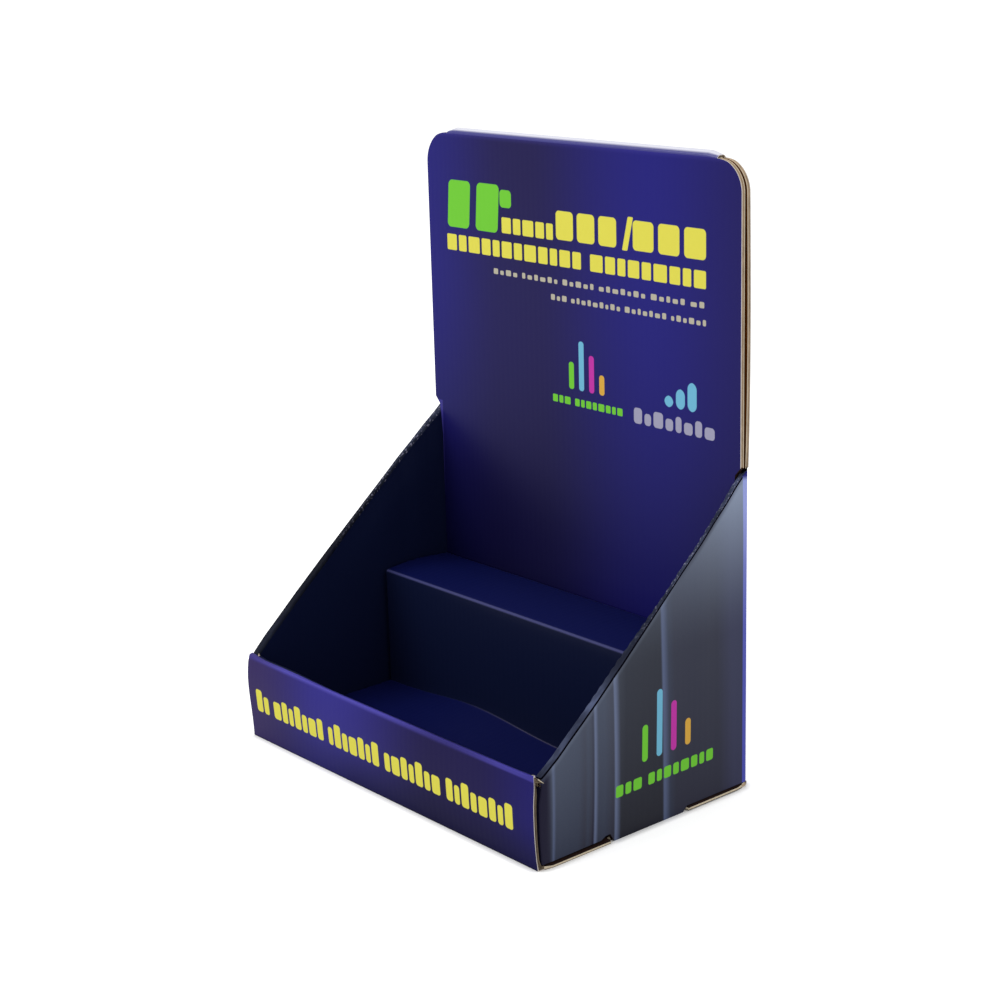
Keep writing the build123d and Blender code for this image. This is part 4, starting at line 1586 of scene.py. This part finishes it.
INSERT_FINISHES = ("step", "tread", "kraft", "paper_edge", "flute_edge", "kraft_edge")


class DISPLAY_OT_step(bpy.types.Operator):
    """Folds the stepped insert from its sheet"""

    bl_idname = "display.step"
    bl_label = "Stepped insert"

    def execute(self, context):
        board, settings = context.scene.display_board, context.scene.display_print
        finishes = board_finishes(settings, board)
        kept = {zone: finishes[zone] for zone in INSERT_FINISHES}
        step = make_board("folded_step", step_sheet(board), board, kept, "kraft")
        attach(step, "root")
        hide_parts("step_insert")
        return {"FINISHED"}


FRAY_STEPS = 5
FRAYS = (
    ((100.4, 0.3, 39.9), (102.1, 1.9, 38.3), 0.45),
    ((-95.6, 2.4, 39.9), (-95.2, 2.2, 41.0), 0.9),
)


def frayed_mesh():
    """Torn slivers of liner that taper from their root to their tip."""
    points, faces = [], []
    for start, end, width in FRAYS:
        start, end = Vector(start), Vector(end)
        along = (end - start).normalized()
        across = along.cross(Vector((1, 0, 0))).normalized()
        through = along.cross(across)
        first = len(points)
        for step in range(FRAY_STEPS + 1):
            share = step / FRAY_STEPS
            centre = start.lerp(end, share) + through * 0.25 * math.sin(math.pi * share)
            half, thick = width / 2 * (1 - 0.75 * share ** 1.5), 0.14 * (1 - 0.5 * share)
            points += [centre + across * a * half + through * b * thick
                       for a, b in ((1, 1), (-1, 1), (-1, -1), (1, -1))]
            if step:
                base = first + 4 * step
                faces += [(base - 4 + k, base - 4 + (k + 1) % 4, base + (k + 1) % 4, base + k)
                          for k in range(4)]
        tip = first + 4 * FRAY_STEPS
        faces += [tuple(range(first + 3, first - 1, -1)), tuple(range(tip, tip + 4))]
    mesh = bpy.data.meshes.new("frayed_liner")
    mesh.from_pydata([(mm(p.x), mm(p.y) - DEPTH / 2, mm(p.z)) for p in points], [], faces)
    mesh.update()
    return mesh


class DISPLAY_OT_frays(bpy.types.Operator):
    """Tears small slivers of liner from the raw corners of the lip"""

    bl_idname = "display.frays"
    bl_label = "Frayed liner"

    def execute(self, context):
        kraft = context.scene.display_print.kraft
        mesh = frayed_mesh()
        mesh.materials.append(paper_finish("frayed_liner", kraft, shade(kraft, 0.8), EDGE_GRAIN))
        frays = bpy.data.objects.new("frayed_liner", mesh)
        context.scene.collection.objects.link(frays)
        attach(frays, "root")
        return {"FINISHED"}


class DISPLAY_PT_stand(bpy.types.Panel):
    """Builds the display stand piece by piece"""

    bl_label = "Display stand"
    bl_idname = "DISPLAY_PT_stand"
    bl_space_type = "VIEW_3D"
    bl_region_type = "UI"
    bl_category = "Display stand"

    def draw(self, context):
        for kind in OPERATORS:
            self.layout.operator(kind.bl_idname)
        for group in (context.scene.display_board, context.scene.display_print, context.scene.display_studio):
            for name in group.__annotations__:
                self.layout.prop(group, name)


SETTINGS = {
    "display_board": DisplayBoardSettings,
    "display_print": DisplayPrintSettings,
    "display_studio": DisplayStudioSettings,
}
OPERATORS = (DISPLAY_OT_studio, DISPLAY_OT_tray, DISPLAY_OT_step, DISPLAY_OT_frays)


def register():
    """Registers the settings, the operators and the panel."""
    for kind in (*SETTINGS.values(), *OPERATORS, DISPLAY_PT_stand):
        bpy.utils.register_class(kind)
    for name, kind in SETTINGS.items():
        setattr(bpy.types.Scene, name, bpy.props.PointerProperty(type=kind))


def unregister():
    """Takes the panel, the operators and the settings away."""
    for name in SETTINGS:
        delattr(bpy.types.Scene, name)
    for kind in reversed((*SETTINGS.values(), *OPERATORS, DISPLAY_PT_stand)):
        bpy.utils.unregister_class(kind)


def main():
    """Builds the whole scene."""
    register()
    bpy.ops.display.studio()
    bpy.ops.display.tray()
    bpy.ops.display.step()
    bpy.ops.display.frays()


if __name__ == "__main__":
    main()
